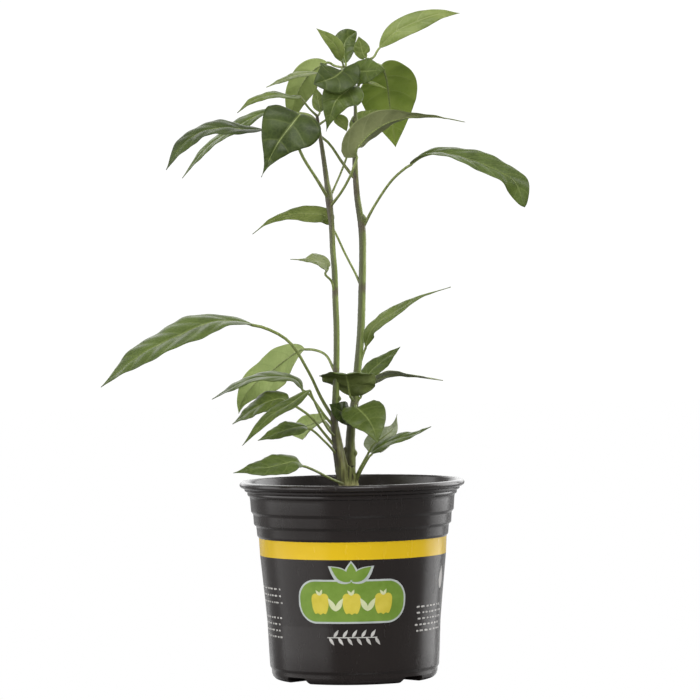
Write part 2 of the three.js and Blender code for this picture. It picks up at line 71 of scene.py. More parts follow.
camera = added(bpy.ops.object.camera_add)
camera.data.lens = LENS
camera.data.clip_end = SIGHT_END
camera.matrix_world = (
    Matrix.Translation(EYE)
    @ Matrix.Rotation(math.radians(EYE_TILT), 4, "X")
    @ Matrix.Rotation(math.radians(EYE_ROLL), 4, "Z")
)
bpy.context.scene.camera = camera
bpy.context.scene.view_settings.view_transform = "Standard"

floor = added(bpy.ops.mesh.primitive_plane_add, size=FLOOR_SIZE)
floor.name = "floor"
floor_paint = bpy.data.materials.new("floor_paint")
floor_paint.use_nodes = True
floor_nodes, floor_links = floor_paint.node_tree.nodes, floor_paint.node_tree.links
floor_shader = floor_nodes["Principled BSDF"]
floor_shader.inputs["Base Color"].default_value = (FLOOR_GREY, FLOOR_GREY, FLOOR_GREY, 1)
floor_shader.inputs["Roughness"].default_value = FLOOR_ROUGHNESS
floor_seen = floor_nodes.new("ShaderNodeEmission")
floor_mix = floor_nodes.new("ShaderNodeMixShader")
floor_links.new(floor_nodes.new("ShaderNodeLightPath").outputs["Is Camera Ray"], floor_mix.inputs[0])
floor_links.new(floor_shader.outputs[0], floor_mix.inputs[1])
floor_links.new(floor_seen.outputs[0], floor_mix.inputs[2])
floor_links.new(floor_mix.outputs[0], floor_nodes["Material Output"].inputs[0])
floor.data.materials.append(floor_paint)

sky = bpy.data.worlds.new("white_room")
bpy.context.scene.world = sky
sky.use_nodes = True
sky_nodes, sky_links = sky.node_tree.nodes, sky.node_tree.links
sky_nodes.clear()
sky_path = sky_nodes.new("ShaderNodeLightPath")
sky_seen = sky_nodes.new("ShaderNodeBackground")
sky_seen.inputs["Strength"].default_value = SKY_SEEN
sky_light = sky_nodes.new("ShaderNodeBackground")
for background in (sky_seen, sky_light):
    background.inputs["Color"].default_value = (1, 1, 1, 1)
sky_way = sky_nodes.new("ShaderNodeTexCoord")
sky_split = sky_nodes.new("ShaderNodeSeparateXYZ")
sky_fade = sky_nodes.new("ShaderNodeMapRange")
for socket, number in zip(list(sky_fade.inputs)[1:5], (*SKY_TURN, SKY_FRONT, SKY_BACK)):
    socket.default_value = number
sky_mix = sky_nodes.new("ShaderNodeMixShader")
sky_out = sky_nodes.new("ShaderNodeOutputWorld")
sky_links.new(sky_way.outputs["Generated"], sky_split.inputs[0])
sky_links.new(sky_split.outputs["Y"], sky_fade.inputs[0])
sky_links.new(sky_fade.outputs[0], sky_light.inputs["Strength"])
sky_links.new(sky_path.outputs["Is Camera Ray"], sky_mix.inputs[0])
sky_links.new(sky_light.outputs[0], sky_mix.inputs[1])
sky_links.new(sky_seen.outputs[0], sky_mix.inputs[2])
sky_links.new(sky_mix.outputs[0], sky_out.inputs[0])


def soft_light(name, place, aim, width, height, power, mirrored=True):
    """A rectangular lamp that looks at a point."""
    lamp = added(bpy.ops.object.light_add, type="AREA", location=place)
    lamp.name = name
    lamp.data.shape = "RECTANGLE"
    lamp.data.size = width
    lamp.data.size_y = height
    lamp.data.energy = power
    lamp.visible_glossy = mirrored
    lamp.rotation_euler = (Vector(aim) - Vector(place)).to_track_quat("-Z", "Y").to_euler()


soft_light("light_over", (0.25, -0.75, 1.55), (0, 0, 0.2), 0.9, 0.6, 15)
soft_light("light_left", (-1.30, -0.42, 0.40), (0, 0, 0.15), 2.3, 1.5, 24)
soft_light("light_right", (1.25, 0.75, 0.55), (0, 0, 0.2), 1.0, 1.3, 16)
soft_light("light_back", (-0.1, 1.7, 0.8), (0, 0, 0.2), 2.4, 1.2, 18)
soft_light("light_front", (0.30, -1.60, 0.50), (0, 0, 0.2), 1.2, 0.9, 14, mirrored=False)


# ---------------------------------------------------------------- Pot
# A thin-walled nursery pot, moulded in one from black plastic: a rolled lip over two fine beads, three
# stepped shoulders, a tapered wall with a printed yellow band, and a foot with four drain channels and holes.

POT_OUTSIDE = [
    (0, 0), (37.6, 0), (38.8, 0.5), (39.9, 1.6), (40.4, 3), (40.5, 5.0), (41.25, 6.3), (41.65, 14), (42.25, 28),
    (43.15, 38), (45.4, 60.6), (45.85, 69.1), (46.6, 70), (47.0, 74.5), (48.15, 75.6), (48.45, 80.5),
    (49.45, 81.8), (49.9, 88.0), (50.1, 89.2), (50.9, 89.6), (51.2, 90.4), (51.0, 91.2), (51.7, 91.5),
    (52.5, 92.0), (52.5, 92.9), (53.3, 93.2), (54.5, 93.8), (54.98, 94.8), (54.4, 96.0), (53.4, 96.48),
]
POT_INSIDE = [
    (52.2, 96.45), (51.6, 95.8), (50.3, 92.3), (48.8, 88.2), (48.4, 82.8), (47.3, 81.2), (47.0, 76.4),
    (46.0, 75), (45.5, 70.8), (44.7, 69.8), (44.3, 61.3), (42.0, 38), (41.1, 28), (40.3, 9), (39.2, 4.6),
    (37.8, 3.8), (0, 3.8),
]
POT_SIDES, CORNER, SMOOTH_BELOW = 192, 0.32, 28
CHANNEL_WIDTH, CHANNEL_DEPTH = 12.0, 3.0
CHANNEL_START, CHANNEL_END = 10, 55
CHANNEL_FLARE, CHANNEL_ROUND = 1.35, 0.9
DRAIN_RADIUS, DRAIN_REACH, DRAIN_DEPTH, DRAIN_SIDES = 4.0, 24.0, 16, 48
MERGE = 1e-6
MM = 0.001


def eased(profile, radius):
    """The profile with each corner cut back and rounded by a small three-point arc."""
    points = [profile[0]]
    for before, corner, after in zip(profile, profile[1:], profile[2:]):
        a, c, b = (Vector(p) for p in (before, corner, after))
        first = c + (a - c).normalized() * min(radius, 0.4 * (a - c).length)
        last = c + (b - c).normalized() * min(radius, 0.4 * (b - c).length)
        points += [tuple(first), tuple((first + last) * 0.25 + c * 0.5), tuple(last)]
    return points + [profile[-1]]


def spun(name, profile, sides):
    """A closed shell: the profile's points, in millimetres, spun about the Z axis."""
    piece = added(bpy.ops.mesh.primitive_plane_add)
    piece.name = name
    outline = bmesh.new()
    row = [outline.verts.new((r * MM, 0, z * MM)) for r, z in profile]
    for first, second in zip(row, row[1:]):
        outline.edges.new((first, second))
    outline.to_mesh(piece.data)
    outline.free()
    bpy.ops.object.mode_set(mode="EDIT")
    bpy.ops.mesh.select_all(action="SELECT")
    bpy.ops.mesh.spin(steps=sides, angle=2 * math.pi, center=(0, 0, 0), axis=(0, 0, 1), use_normal_flip=False)
    bpy.ops.mesh.select_all(action="SELECT")
    bpy.ops.mesh.remove_doubles(threshold=MERGE)
    bpy.ops.mesh.normals_make_consistent(inside=False)
    bpy.ops.object.mode_set(mode="OBJECT")
    return piece


def apply_all(piece):
    """Applies the piece's modifiers in order."""
    pick(piece)
    for modifier in list(piece.modifiers):
        bpy.ops.object.modifier_apply(modifier=modifier.name)


def apply_place(piece):
    """Puts the piece's place, turn and scale in its mesh."""
    pick(piece)
    bpy.ops.object.transform_apply(location=True, rotation=True, scale=True)


def cut_away(piece, cutter):
    """Takes the cutter's room out of the piece and removes the cutter."""
    modifier = piece.modifiers.new("cut", "BOOLEAN")
    modifier.operation = "DIFFERENCE"
    modifier.solver = "EXACT"
    modifier.object = cutter
    apply_all(piece)
    bpy.data.objects.remove(cutter)


pot = spun("nursery_pot", eased(POT_OUTSIDE, CORNER) + eased(POT_INSIDE, CORNER), POT_SIDES)
for quarter in range(4):
    turn = math.radians(45 + 90 * quarter)
    length = CHANNEL_END - CHANNEL_START
    middle = ((CHANNEL_START + length / 2) * MM, 0, 0)
    channel = added(bpy.ops.mesh.primitive_cube_add, size=1, location=middle)
    channel.scale = (length * MM, CHANNEL_WIDTH * MM, 2 * CHANNEL_DEPTH * MM)
    apply_place(channel)
    for corner in channel.data.vertices:
        if corner.co.z < 0:
            corner.co.y *= CHANNEL_FLARE
    channel.rotation_euler.z = turn
    apply_place(channel)
    bevel = channel.modifiers.new("round", "BEVEL")
    bevel.width = CHANNEL_ROUND * MM
    bevel.segments = 3
    apply_all(channel)
    cut_away(pot, channel)
    drain = added(
        bpy.ops.mesh.primitive_cylinder_add, vertices=DRAIN_SIDES,
        radius=DRAIN_RADIUS * MM, depth=DRAIN_DEPTH * MM,
        location=(DRAIN_REACH * MM * math.cos(turn), DRAIN_REACH * MM * math.sin(turn), 0),
    )
    apply_place(drain)
    cut_away(pot, drain)
pick(pot)
bpy.ops.object.shade_smooth_by_angle(angle=math.radians(SMOOTH_BELOW))


def linear(screen):
    """A colour from 0..255 screen values, as the shaders take it."""
    shares = [c / 255 for c in screen]
    return (*(((c + 0.055) / 1.055) ** 2.4 if c > 0.04 else c / 12.92 for c in shares), 1)


class Shader:
    """A node material under construction: each call adds a node and hands back its output."""

    def __init__(self, name, group=False):
        if group:
            self.tree = bpy.data.node_groups.new(name, "ShaderNodeTree")
        else:
            self.material = bpy.data.materials.new(name)
            self.material.use_nodes = True
            self.tree = self.material.node_tree
            self.principled = self.tree.nodes["Principled BSDF"]
        self.nodes, self.links = self.tree.nodes, self.tree.links

    def put(self, socket, value):
        if isinstance(value, bpy.types.NodeSocket):
            self.links.new(value, socket)
        else:
            socket.default_value = value

    def look(self, **values):
        """Sets or links the finish's own sockets; an underscore stands for a space in their names."""
        for name, value in values.items():
            self.put(self.principled.inputs[name.replace("_", " ")], value)

    def math(self, operation, *values):
        node = self.nodes.new("ShaderNodeMath")
        node.operation = operation
        for socket, value in zip(node.inputs, values):
            self.put(socket, value)
        return node.outputs[0]

    def times(self, first, second):
        return self.math("MULTIPLY", first, second)

    def plus(self, first, second):
        return self.math("ADD", first, second)

    def step(self, value, low, high, to_low=0.0, to_high=1.0):
        """Runs smoothly from to_low to to_high as the value goes from low to high."""
        node = self.nodes.new("ShaderNodeMapRange")
        node.interpolation_type = "SMOOTHSTEP"
        for socket, number in zip(node.inputs, (value, low, high, to_low, to_high)):
            self.put(socket, number)
        return node.outputs[0]

    def mix(self, amount, first, second):
        node = self.nodes.new("ShaderNodeMix")
        node.data_type = "RGBA"
        self.put(node.inputs[0], amount)
        self.put(node.inputs[6], first)
        self.put(node.inputs[7], second)
        return node.outputs[2]

    def marbled(self, pattern, low, high, dull, bright):
        """Goes from a dull colour to a bright one as the pattern goes from low to high."""
        return self.mix(self.step(pattern, low, high), linear(dull), linear(bright))

    def object_place(self):
        return self.nodes.new("ShaderNodeTexCoord").outputs["Object"]

    def split(self, vector):
        node = self.nodes.new("ShaderNodeSeparateXYZ")
        self.put(node.inputs[0], vector)
        return node.outputs

    def stretch(self, vector, scale):
        node = self.nodes.new("ShaderNodeMapping")
        self.put(node.inputs["Vector"], vector)
        node.inputs["Scale"].default_value = scale
        return node.outputs[0]

    def cloud(self, vector, scale, detail=2.0, roughness=0.5):
        node = self.nodes.new("ShaderNodeTexNoise")
        self.put(node.inputs["Vector"], vector)
        node.inputs["Scale"].default_value = scale
        node.inputs["Detail"].default_value = detail
        node.inputs["Roughness"].default_value = roughness
        return node.outputs["Fac"]

    def cells(self, vector, scale):
        """How far each place is from the edge of its cell."""
        node = self.nodes.new("ShaderNodeTexVoronoi")
        node.feature = "DISTANCE_TO_EDGE"
        self.put(node.inputs["Vector"], vector)
        node.inputs["Scale"].default_value = scale
        return node.outputs["Distance"]

    def attribute(self, name):
        node = self.nodes.new("ShaderNodeAttribute")
        node.attribute_name = name
        return node.outputs["Fac"]

    def bump(self, height, distance, strength=1.0):
        node = self.nodes.new("ShaderNodeBump")
        node.inputs["Distance"].default_value = distance
        node.inputs["Strength"].default_value = strength
        self.put(node.inputs["Height"], height)
        return node.outputs[0]

    def group(self, tree, **values):
        """Places a node group and hands back its outputs."""
        node = self.nodes.new("ShaderNodeGroup")
        node.node_tree = tree
        for name, value in values.items():
            self.put(node.inputs[name.replace("_", " ")], value)
        return node.outputs


BAND_LOW, BAND_HIGH, BAND_BLUR = 60.6, 69.0, 0.06
WALL_TAPER, WALL_MIDDLE = 0.07, (40.12, 40.2)
INSIDE_TAPER, INSIDE_EDGE = 0.2, (31.7, 31.9)
DUST_BEGINS, DUST_ENDS = (84.0, 85.0), (86.0, 92.0)
BLACK, BLACK_WORN, SCUFFED, DUSTY = (30, 25, 24), (37, 32, 30), (62, 56, 53), (96, 84, 70)
YELLOW, YELLOW_BRIGHT = (214, 176, 16), (224, 188, 24)

plastic = Shader("pot_plastic_printed")
place = plastic.object_place()
x, y, z = plastic.split(place)
height = plastic.times(z, 1000.0)
reach = plastic.math("SQRT", plastic.plus(plastic.times(x, x), plastic.times(y, y)))
reach = plastic.times(reach, 1000.0)
haze = plastic.cloud(place, 34.0, 3.0, 0.55)
scuffs = plastic.step(plastic.cloud(plastic.stretch(place, (1, 1, 0.22)), 260.0, 5.0, 0.65), 0.58, 0.72)

# Black, scuffed along the wall, with dry soil in the upper part of the inner wall.
black = plastic.mix(haze, linear(BLACK), linear(BLACK_WORN))
black = plastic.mix(plastic.times(scuffs, 0.07), black, linear(SCUFFED))
inner = plastic.math("SUBTRACT", reach, plastic.times(height, INSIDE_TAPER))
inner = plastic.step(inner, *INSIDE_EDGE, 1.0, 0.0)
dust = plastic.step(plastic.cloud(place, 620.0, 4.0, 0.7), 0.56, 0.68)
dust = plastic.times(dust, plastic.times(inner, plastic.step(height, *DUST_ENDS, 0.7, 0.0)))
black = plastic.mix(plastic.times(dust, plastic.step(height, *DUST_BEGINS)), black, linear(DUSTY))

# The yellow band, printed round the outside with a slightly frayed edge.
fray = plastic.times(plastic.math("SUBTRACT", plastic.cloud(place, 900.0), 0.5), 0.18)
edge = plastic.plus(height, fray)
band = plastic.times(
    plastic.step(edge, BAND_LOW - BAND_BLUR, BAND_LOW + BAND_BLUR),
    plastic.step(edge, BAND_HIGH - BAND_BLUR, BAND_HIGH + BAND_BLUR, 1.0, 0.0),
)
outside = plastic.math("SUBTRACT", reach, plastic.times(height, WALL_TAPER))
band = plastic.times(band, plastic.step(outside, *WALL_MIDDLE))
yellow = plastic.mix(haze, linear(YELLOW), linear(YELLOW_BRIGHT))

# Glossy from the mould, duller where scuffed, with fine rings that run round the wall.
gloss = plastic.plus(plastic.plus(0.20, plastic.times(haze, 0.08)), plastic.times(scuffs, 0.14))
rings = plastic.math("SINE", plastic.times(height, 14.0))
grain = plastic.plus(plastic.cloud(place, 1800.0, 2.0), plastic.times(rings, 0.12))
plastic.look(
    Base_Color=plastic.mix(band, black, yellow),
    Roughness=gloss,
    Specular_IOR_Level=0.45,
    Normal=plastic.bump(grain, 0.00004, 0.6),
)

pot.data.materials.clear()
pot.data.materials.append(plastic.material)
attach(pot, "root")
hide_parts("pot")


# ---------------------------------------------------------------- Stem
# Two green stems that part at a woody root collar, the right one forked again at the crown. The skin is
# faintly ribbed, darker at the leaf joints, darkened down one side by painted shade, and turns to tan, fibrous
# bark at the collar.

# Points are right, back and up, then the radius there. A joint's last number is how far its stain spreads.
LEFT_STEM = [
    (-2.5, 0, 86, 3.2), (-3.4, -1, 93.5, 3), (-5, -2, 98.6, 2.7), (-6.6, -2, 108.5, 2.4),
    (-7.6, -2, 116.1, 2.1), (-8.2, -2, 125.8, 2), (-7.4, -2, 135.6, 1.8), (-6.8, -2, 150, 1.6),
    (-6.4, -2, 168.2, 1.6), (-6.7, -2, 184.3, 1.6), (-6.9, -2, 198, 1.55), (-7.6, -2, 208.7, 1.5),
    (-8, -2, 220.4, 1.5), (-8.8, -2, 229, 1.7), (-9.1, -2, 234.1, 2), (-10.2, -2, 243, 1.35),
    (-11.5, -2, 253.6, 1.2), (-12.8, -2, 263, 1.05), (-14, -2, 270.2, 1), (-14.3, -2, 274.5, 0.8),
]
RIGHT_STEM = [
    (0, 1, 86, 3.4), (-0.9, 3, 93.5, 3), (-0.8, 4, 101.3, 2.8), (-0.6, 4, 108.6, 2.8), (-0.5, 4, 116, 2.4),
    (0.4, 4, 125.7, 2.2), (2, 4, 135.4, 2.1), (3.5, 4, 150, 2), (5.4, 4, 168.1, 2), (6.4, 4, 190.5, 1.95),
    (6.9, 4, 205.6, 1.85), (6.9, 4, 216.8, 1.95), (6.1, 4, 224.1, 1.8), (4.6, 4, 235.3, 1.6),
    (3.9, 4, 248.5, 1.45), (4, 4, 262.1, 1.15), (4.4, 4, 278.2, 0.95), (3.5, 4, 284, 1),
]
LEFT_FORK = [(3.5, 4, 283, 0.95), (1.5, 4, 290, 0.85), (-0.8, 4, 298.5, 0.8)]
RIGHT_FORK = [(3.5, 4, 283, 0.95), (6.5, 4, 290, 0.85), (10.5, 4, 300.5, 0.8)]
FOOT_SHOOT = [
    (-1.6, 1, 92, 1.9), (-3, 0, 101, 1.7), (-4.6, -0.6, 109, 1.6), (-6, -1.4, 116, 1.5), (-7.6, -2, 124, 1.4),
]
BUDS = [
    (-5.6, -2.6, 136.4, 1.1), (7.8, 3.2, 224.4, 1.2), (3, 3, 248.6, 1), (3.3, 3.4, 272, 0.9),
    (-7, -3.6, 112, 1.2), (1.8, 3, 109.5, 1.3), (-3.2, 3, 111, 1.2), (-2.6, 3, 107, 1), (-1.6, 3, 124, 1),
]
COLLAR = [(0, 64), (1.2, 64), (3.4, 80), (4.5, 89), (4.3, 94), (2.9, 97.4), (0, 98.4)]
COLLAR_PLACE, COLLAR_SIDES = (-1.6, 1.0), 48
SHOOT_STEP, SHOOT_SIDES = 1.4, 5
BUD_HEIGHT, BUD_LEAN = 1.45, 0.35
FIBRES, FIBRE_ROWS, FIBRE_THICKNESS, FIBRE_TAPER = 34, 10, 0.62, 0.03
FIBRE_TOP, FIBRE_SPREAD, FIBRE_FOOT, FIBRE_REACH = (95, 104), 1.9, 86.6, (4.3, 6.4)
FUSE_GRAIN = 0.36
BARK_TOP, BARK_DEEP, BARK_SPLIT = 112, 18, 97
LEFT_MIDDLE, RIGHT_MIDDLE, BETWEEN_STEMS = (-7.6, -2), (4.5, 4), -3.6
RIB_RELIEF, FIBRE_RELIEF, KNOT_RELIEF = 0.05, 0.30, 0.07
# Painted shade: skin that faces this way, past this much, is painted darker.
SHADED_WAY, SHADED_FROM = (-0.87, -0.49, 0), 0.30
JOINTS = [
    (-8.2, -2, 126, 1.0), (-7.5, -2, 149.5, 0.5), (-8.2, -2, 122.5, 0.8), (-7.8, -2, 117.5, 0.8),
    (-7.6, -2, 112.5, 0.8), (-7.2, -2, 109, 0.6), (2.4, 4, 134, 0.5), (7, 4, 190, 0.7), (7, 4, 220, 1.2),
    (-8.8, -2, 231, 1.3), (-6.9, -2, 188.5, 0.6), (3.5, 4, 244, 0.7), (-14, -2, 272, 0.7), (3.5, 4, 284, 0.8),
    (-0.6, 4, 297.5, 0.5), (10.5, 4, 300, 0.5),
]
ROUTE_STEPS = 240


def smooth_route(points, first, last, count):
    """Evenly spaced points on the smooth curve through the given ones, between two of its parameters."""
    p = [Vector(point) for point in points]
    p = [2 * p[0] - p[1]] + p + [2 * p[-1] - p[-2]]

    def at(t):
        t = min(max(t, 0.0), 1.0) * (len(points) - 1)
        i = min(int(t), len(points) - 2)
        w = t - i
        a, b, c, d = p[i : i + 4]
        m, n = (c - a) / 2, (d - b) / 2
        return b + m * w + (3 * (c - b) - 2 * m - n) * w * w + (2 * (b - c) + m + n) * w**3

    fine = [at(first + (last - first) * i / ROUTE_STEPS) for i in range(ROUTE_STEPS + 1)]
    lengths = [0.0]
    for before, after in zip(fine, fine[1:]):
        lengths.append(lengths[-1] + (after - before).length)
    found, route = 1, []
    for i in range(count + 1):
        target = lengths[-1] * i / count
        while found < ROUTE_STEPS and lengths[found] < target - 1e-9:
            found += 1
        part = (target - lengths[found - 1]) / (lengths[found] - lengths[found - 1])
        route.append(fine[found - 1].lerp(fine[found], part))
    return route, lengths[-1]


def shoot(name, route, radii, sides=3):
    """A closed round shoot along a route in millimetres, with its own radius at every point."""
    path = bpy.data.curves.new(name, "CURVE")
    path.dimensions = "3D"
    path.bevel_depth = MM
    path.bevel_resolution = sides
    path.use_fill_caps = True
    spline = path.splines.new("POLY")
    spline.points.add(len(route) - 1)
    for point, centre, radius in zip(spline.points, route, radii):
        point.co = (*(Vector(centre) * MM), 1)
        point.radius = radius
    piece = bpy.data.objects.new(name, path)
    bpy.context.collection.objects.link(piece)
    pick(piece)
    bpy.ops.object.convert(target="MESH")
    return bpy.context.object


def write_values(piece, name, values):
    """Keeps a number for each vertex of the piece, for its material to read."""
    piece.data.attributes.new(name, "FLOAT", "POINT").data.foreach_set("value", values)


def join_all(pieces, name):
    """Makes one object of the pieces."""
    pick(*pieces)
    bpy.ops.object.join()
    pieces[0].name = name
    return pieces[0]


SHOOTS = {
    "left": LEFT_STEM, "right": RIGHT_STEM, "left_fork": LEFT_FORK, "right_fork": RIGHT_FORK,
    "foot": FOOT_SHOOT,
}
shoots = []
for label, path in SHOOTS.items():
    count = max(10, round((path[-1][2] - path[0][2]) / SHOOT_STEP))
    route, _ = smooth_route([p[:3] for p in path], 0, 1, count)
    heights = [p[2] for p in path]
    radii = []
    for point in route:
        i = max(k for k in range(len(path) - 1) if heights[k] <= max(point.z, heights[0]))
        w = min(1, max(0, (point.z - heights[i]) / (heights[i + 1] - heights[i])))
        radii.append(path[i][3] + (path[i + 1][3] - path[i][3]) * (3 * w * w - 2 * w**3))
    shoots.append(shoot(f"shoot_{label}", route, radii, SHOOT_SIDES))
for x, y, z, radius in BUDS:
    middle, size = Vector((x, y, z)) * MM, radius * 0.95 * MM
    bud = added(bpy.ops.mesh.primitive_ico_sphere_add, subdivisions=3, radius=size, location=middle)
    bud.scale = (1, 1, BUD_HEIGHT)
    apply_place(bud)
    for vertex in bud.data.vertices:
        if vertex.co.z > middle.z:
            reach = (vertex.co.z - middle.z) / (radius * 1.1 * MM)
            vertex.co.xy += (middle.xy - vertex.co.xy) * BUD_LEAN * reach
    shoots.append(bud)
fibre_random = random.Random(5)
for i in range(FIBRES):
    turn = math.radians(360 / FIBRES * i + fibre_random.uniform(-6, 6))
    top, reach = fibre_random.uniform(*FIBRE_TOP), fibre_random.uniform(*FIBRE_REACH)
    lean = turn + fibre_random.uniform(-0.25, 0.25)
    inner = Vector((*COLLAR_PLACE, top)) + FIBRE_SPREAD * Vector((1.4 * math.cos(turn), math.sin(turn), 0))
    outer = Vector((*COLLAR_PLACE, FIBRE_FOOT)) + reach * Vector((math.cos(lean), math.sin(lean), 0))
    middle = inner.lerp(outer, 0.55) + Vector((0.5 * math.cos(turn), 0.5 * math.sin(turn), -1.2))
    route, _ = smooth_route([inner, middle, outer], 0, 1, FIBRE_ROWS)
    radii = [FIBRE_THICKNESS - FIBRE_TAPER * k for k in range(FIBRE_ROWS + 1)]
    shoots.append(shoot(f"fibre_{i}", route, radii, 2))
collar = spun("root_collar", COLLAR, COLLAR_SIDES)
collar.location = (COLLAR_PLACE[0] * MM, COLLAR_PLACE[1] * MM, 0)
apply_place(collar)
shoots.append(collar)
stem = join_all(shoots, "forked_stem")
fused = stem.modifiers.new("fused", "REMESH")
fused.mode = "VOXEL"
fused.voxel_size = FUSE_GRAIN * MM
smooth = stem.modifiers.new("smooth", "SMOOTH")
smooth.factor = 0.5
smooth.iterations = 3
apply_all(stem)

# Ribs run up the green skin; below, they give way to the rough fibres of the bark.
for vertex, normal in zip(stem.data.vertices, [v.normal.copy() for v in stem.data.vertices]):
    p = vertex.co / MM
    woody = max(0.0, min(1.0, (BARK_TOP - p.z) / BARK_DEEP))
    middle = LEFT_MIDDLE if p.x < BETWEEN_STEMS else RIGHT_MIDDLE
    middle = Vector(COLLAR_PLACE if p.z < BARK_SPLIT else middle)
    turn = math.atan2(p.y - middle.y, p.x - middle.x)
    ribs = math.sin(5 * turn + 0.02 * p.z) * (1 - woody)
    fibres = noise.noise(Vector((6 * math.cos(turn), 6 * math.sin(turn), p.z * 0.16))) * woody
    knots = noise.noise(p * 0.9) * KNOT_RELIEF
    vertex.co += normal * MM * (RIB_RELIEF * ribs + FIBRE_RELIEF * fibres + knots - RIB_RELIEF)
# Painted shade for the side of the stem that faces SHADED_WAY, and the spread of each joint's stain.
stains, painted_side_shade = [], []
for vertex in stem.data.vertices:
    p = vertex.co / MM
    facing = vertex.normal.dot(Vector(SHADED_WAY))
    painted_side_shade.append(max(0.0, min(1.0, 0.5 + 1.6 * (facing - SHADED_FROM))))
    near = min((p - Vector(j[:3])).length / (2.4 + 2.6 * j[3]) for j in JOINTS)
    stains.append(max(0.0, 1.0 - near))
write_values(stem, "joint_stain", stains)
write_values(stem, "painted_side_shade", painted_side_shade)
for face in stem.data.polygons:
    face.use_smooth = True

# The _SHADED colours are painted shade for the stem's darker side.
SKIN, SKIN_BRIGHT, SKIN_SHADED = (114, 130, 64), (144, 158, 90), (78, 82, 52)
PURPLE, PURPLE_BRIGHT, PURPLE_SHADED = (76, 62, 54), (108, 98, 80), (56, 48, 44)
BROWN, BROWN_BRIGHT, BROWN_SHADED = (88, 84, 50), (128, 128, 80), (50, 46, 34)
TAN, TAN_BRIGHT = (124, 120, 72), (190, 186, 132)
PURPLE_BEGINS, PURPLE_ENDS = (196.0, 236.0), (285.0, 262.0)
BROWN_BEGINS, TAN_BEGINS, DULL_BELOW = (138.0, 104.0), (100.0, 94.0), (96.0, 118.0)

bark = Shader("stem_skin_and_bark")
place = bark.object_place()
height = bark.times(bark.split(place)[2], 1000.0)
streaks = bark.cloud(bark.stretch(place, (1, 1, 0.10)), 900.0, 4.0, 0.6)
clouds = bark.cloud(place, 70.0, 3.0, 0.6)
# Painted shade: one side of the stem is mixed towards the shaded colours, broken up along the streaks.
side = bark.times(bark.attribute("painted_side_shade"), bark.step(streaks, 0.25, 0.55, 0.7, 1.0))
skin = bark.mix(side, bark.marbled(streaks, 0.30, 0.70, SKIN, SKIN_BRIGHT), linear(SKIN_SHADED))

# Purple at the joints and, in clouds, on the upper third, with painted shade down the same side.
purple = bark.marbled(streaks, 0.35, 0.65, PURPLE, PURPLE_BRIGHT)
purple = bark.mix(bark.times(side, 0.6), purple, linear(PURPLE_SHADED))
upper = bark.times(bark.step(height, *PURPLE_BEGINS), bark.step(height, *PURPLE_ENDS))
shade = bark.times(upper, bark.step(clouds, 0.36, 0.62, 0.35, 1.0))
stain = bark.step(bark.attribute("joint_stain"), 0.05, 0.75)
stain = bark.math("MAXIMUM", bark.times(shade, 0.85), stain)
skin = bark.mix(bark.times(stain, 0.9), skin, purple)

# Brown, with painted shade down the same side, then tan, towards the root collar.
brown = bark.mix(side, bark.marbled(streaks, 0.32, 0.68, BROWN, BROWN_BRIGHT), linear(BROWN_SHADED))
foot = bark.times(bark.step(height, *BROWN_BEGINS), bark.step(clouds, 0.34, 0.6, 0.5, 1.0))
skin = bark.mix(foot, skin, brown)
collar_line = bark.step(bark.plus(height, bark.times(clouds, 6.0)), *TAN_BEGINS)
skin = bark.mix(collar_line, skin, bark.marbled(streaks, 0.35, 0.62, TAN, TAN_BRIGHT))
relief = bark.plus(streaks, bark.times(bark.cloud(place, 1600.0, 2.0), 0.35))
bark.look(
    Base_Color=skin,
    Roughness=bark.step(height, *DULL_BELOW, 0.85, 0.48),
    Normal=bark.bump(relief, 0.00018, 0.7),
)
stem.data.materials.clear()
stem.data.materials.append(bark.material)
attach(stem, "root")
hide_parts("stem")


# ---------------------------------------------------------------- Soil
# Dark potting mix that fills the pot to a finger's width below its lip: fine crumbs of peat with shreds of
# bark and a few white grains of perlite pressed into the surface. It lies loose against the wall.

SOIL_SIDE = [
    (0, 4.1), (37.5, 4.1), (38.9, 4.9), (40.0, 9), (40.8, 28), (41.7, 38), (44.0, 61.3), (44.4, 70.2),
    (45.2, 71.2), (45.7, 75.4), (46.7, 76.8), (47.0, 81.6), (47.5, 84.3),
]
SOIL_TOP, SOIL_SIDES = 85.6, 160
SOIL_RINGS = [47.2 - 0.77 * i for i in range(61)]
LUMPS, GRIT = 0.7, 0.9
LITTER_REACH, LITTER_TILT, LITTER_JAGGED = 44, 0.35, 0.35
STEM_ROOM, PUSHED_OFF = 6, (9, 7)
# Of each kind of litter: how many, least and greatest radius, stretch, dull and bright colour, roughness.
LITTER = {
    "peat": (520, 0.5, 1.5, (1, 0.85, 0.7), (30, 22, 16), (62, 46, 33), 0.95),
    "bark_shred": (90, 0.9, 1.8, (2.6, 0.7, 0.35), (66, 44, 28), (112, 80, 52), 0.85),
    "perlite": (46, 0.6, 1.2, (1, 0.9, 0.8), (188, 184, 174), (226, 223, 214), 0.8),
}


def mix_lumps(x, y):
    """The height of the mix over its level, from low and broad lumps."""
    lumps = math.sin(0.31 * x + 0.8) * math.cos(0.27 * y)
    lumps += 0.7 * math.sin(0.62 * x - 0.41 * y) + 0.5 * math.cos(0.9 * y + 0.5 * x)
    return LUMPS * lumps


soil_rows = [(radius, SOIL_TOP) for radius in SOIL_RINGS if radius > 0.4] + [(0, SOIL_TOP)]
soil = spun("potting_mix", SOIL_SIDE + soil_rows, SOIL_SIDES)
for vertex in soil.data.vertices:
    p = vertex.co / MM
    if p.z > SOIL_TOP - 0.4:
        grit = noise.noise(Vector((p.x, p.y, 0)) * 0.55) + 0.6 * noise.noise(Vector((p.x, p.y, 9)) * 1.3)
        vertex.co.z += (mix_lumps(p.x, p.y) + GRIT * grit) * MM

crumb_random = random.Random(7)


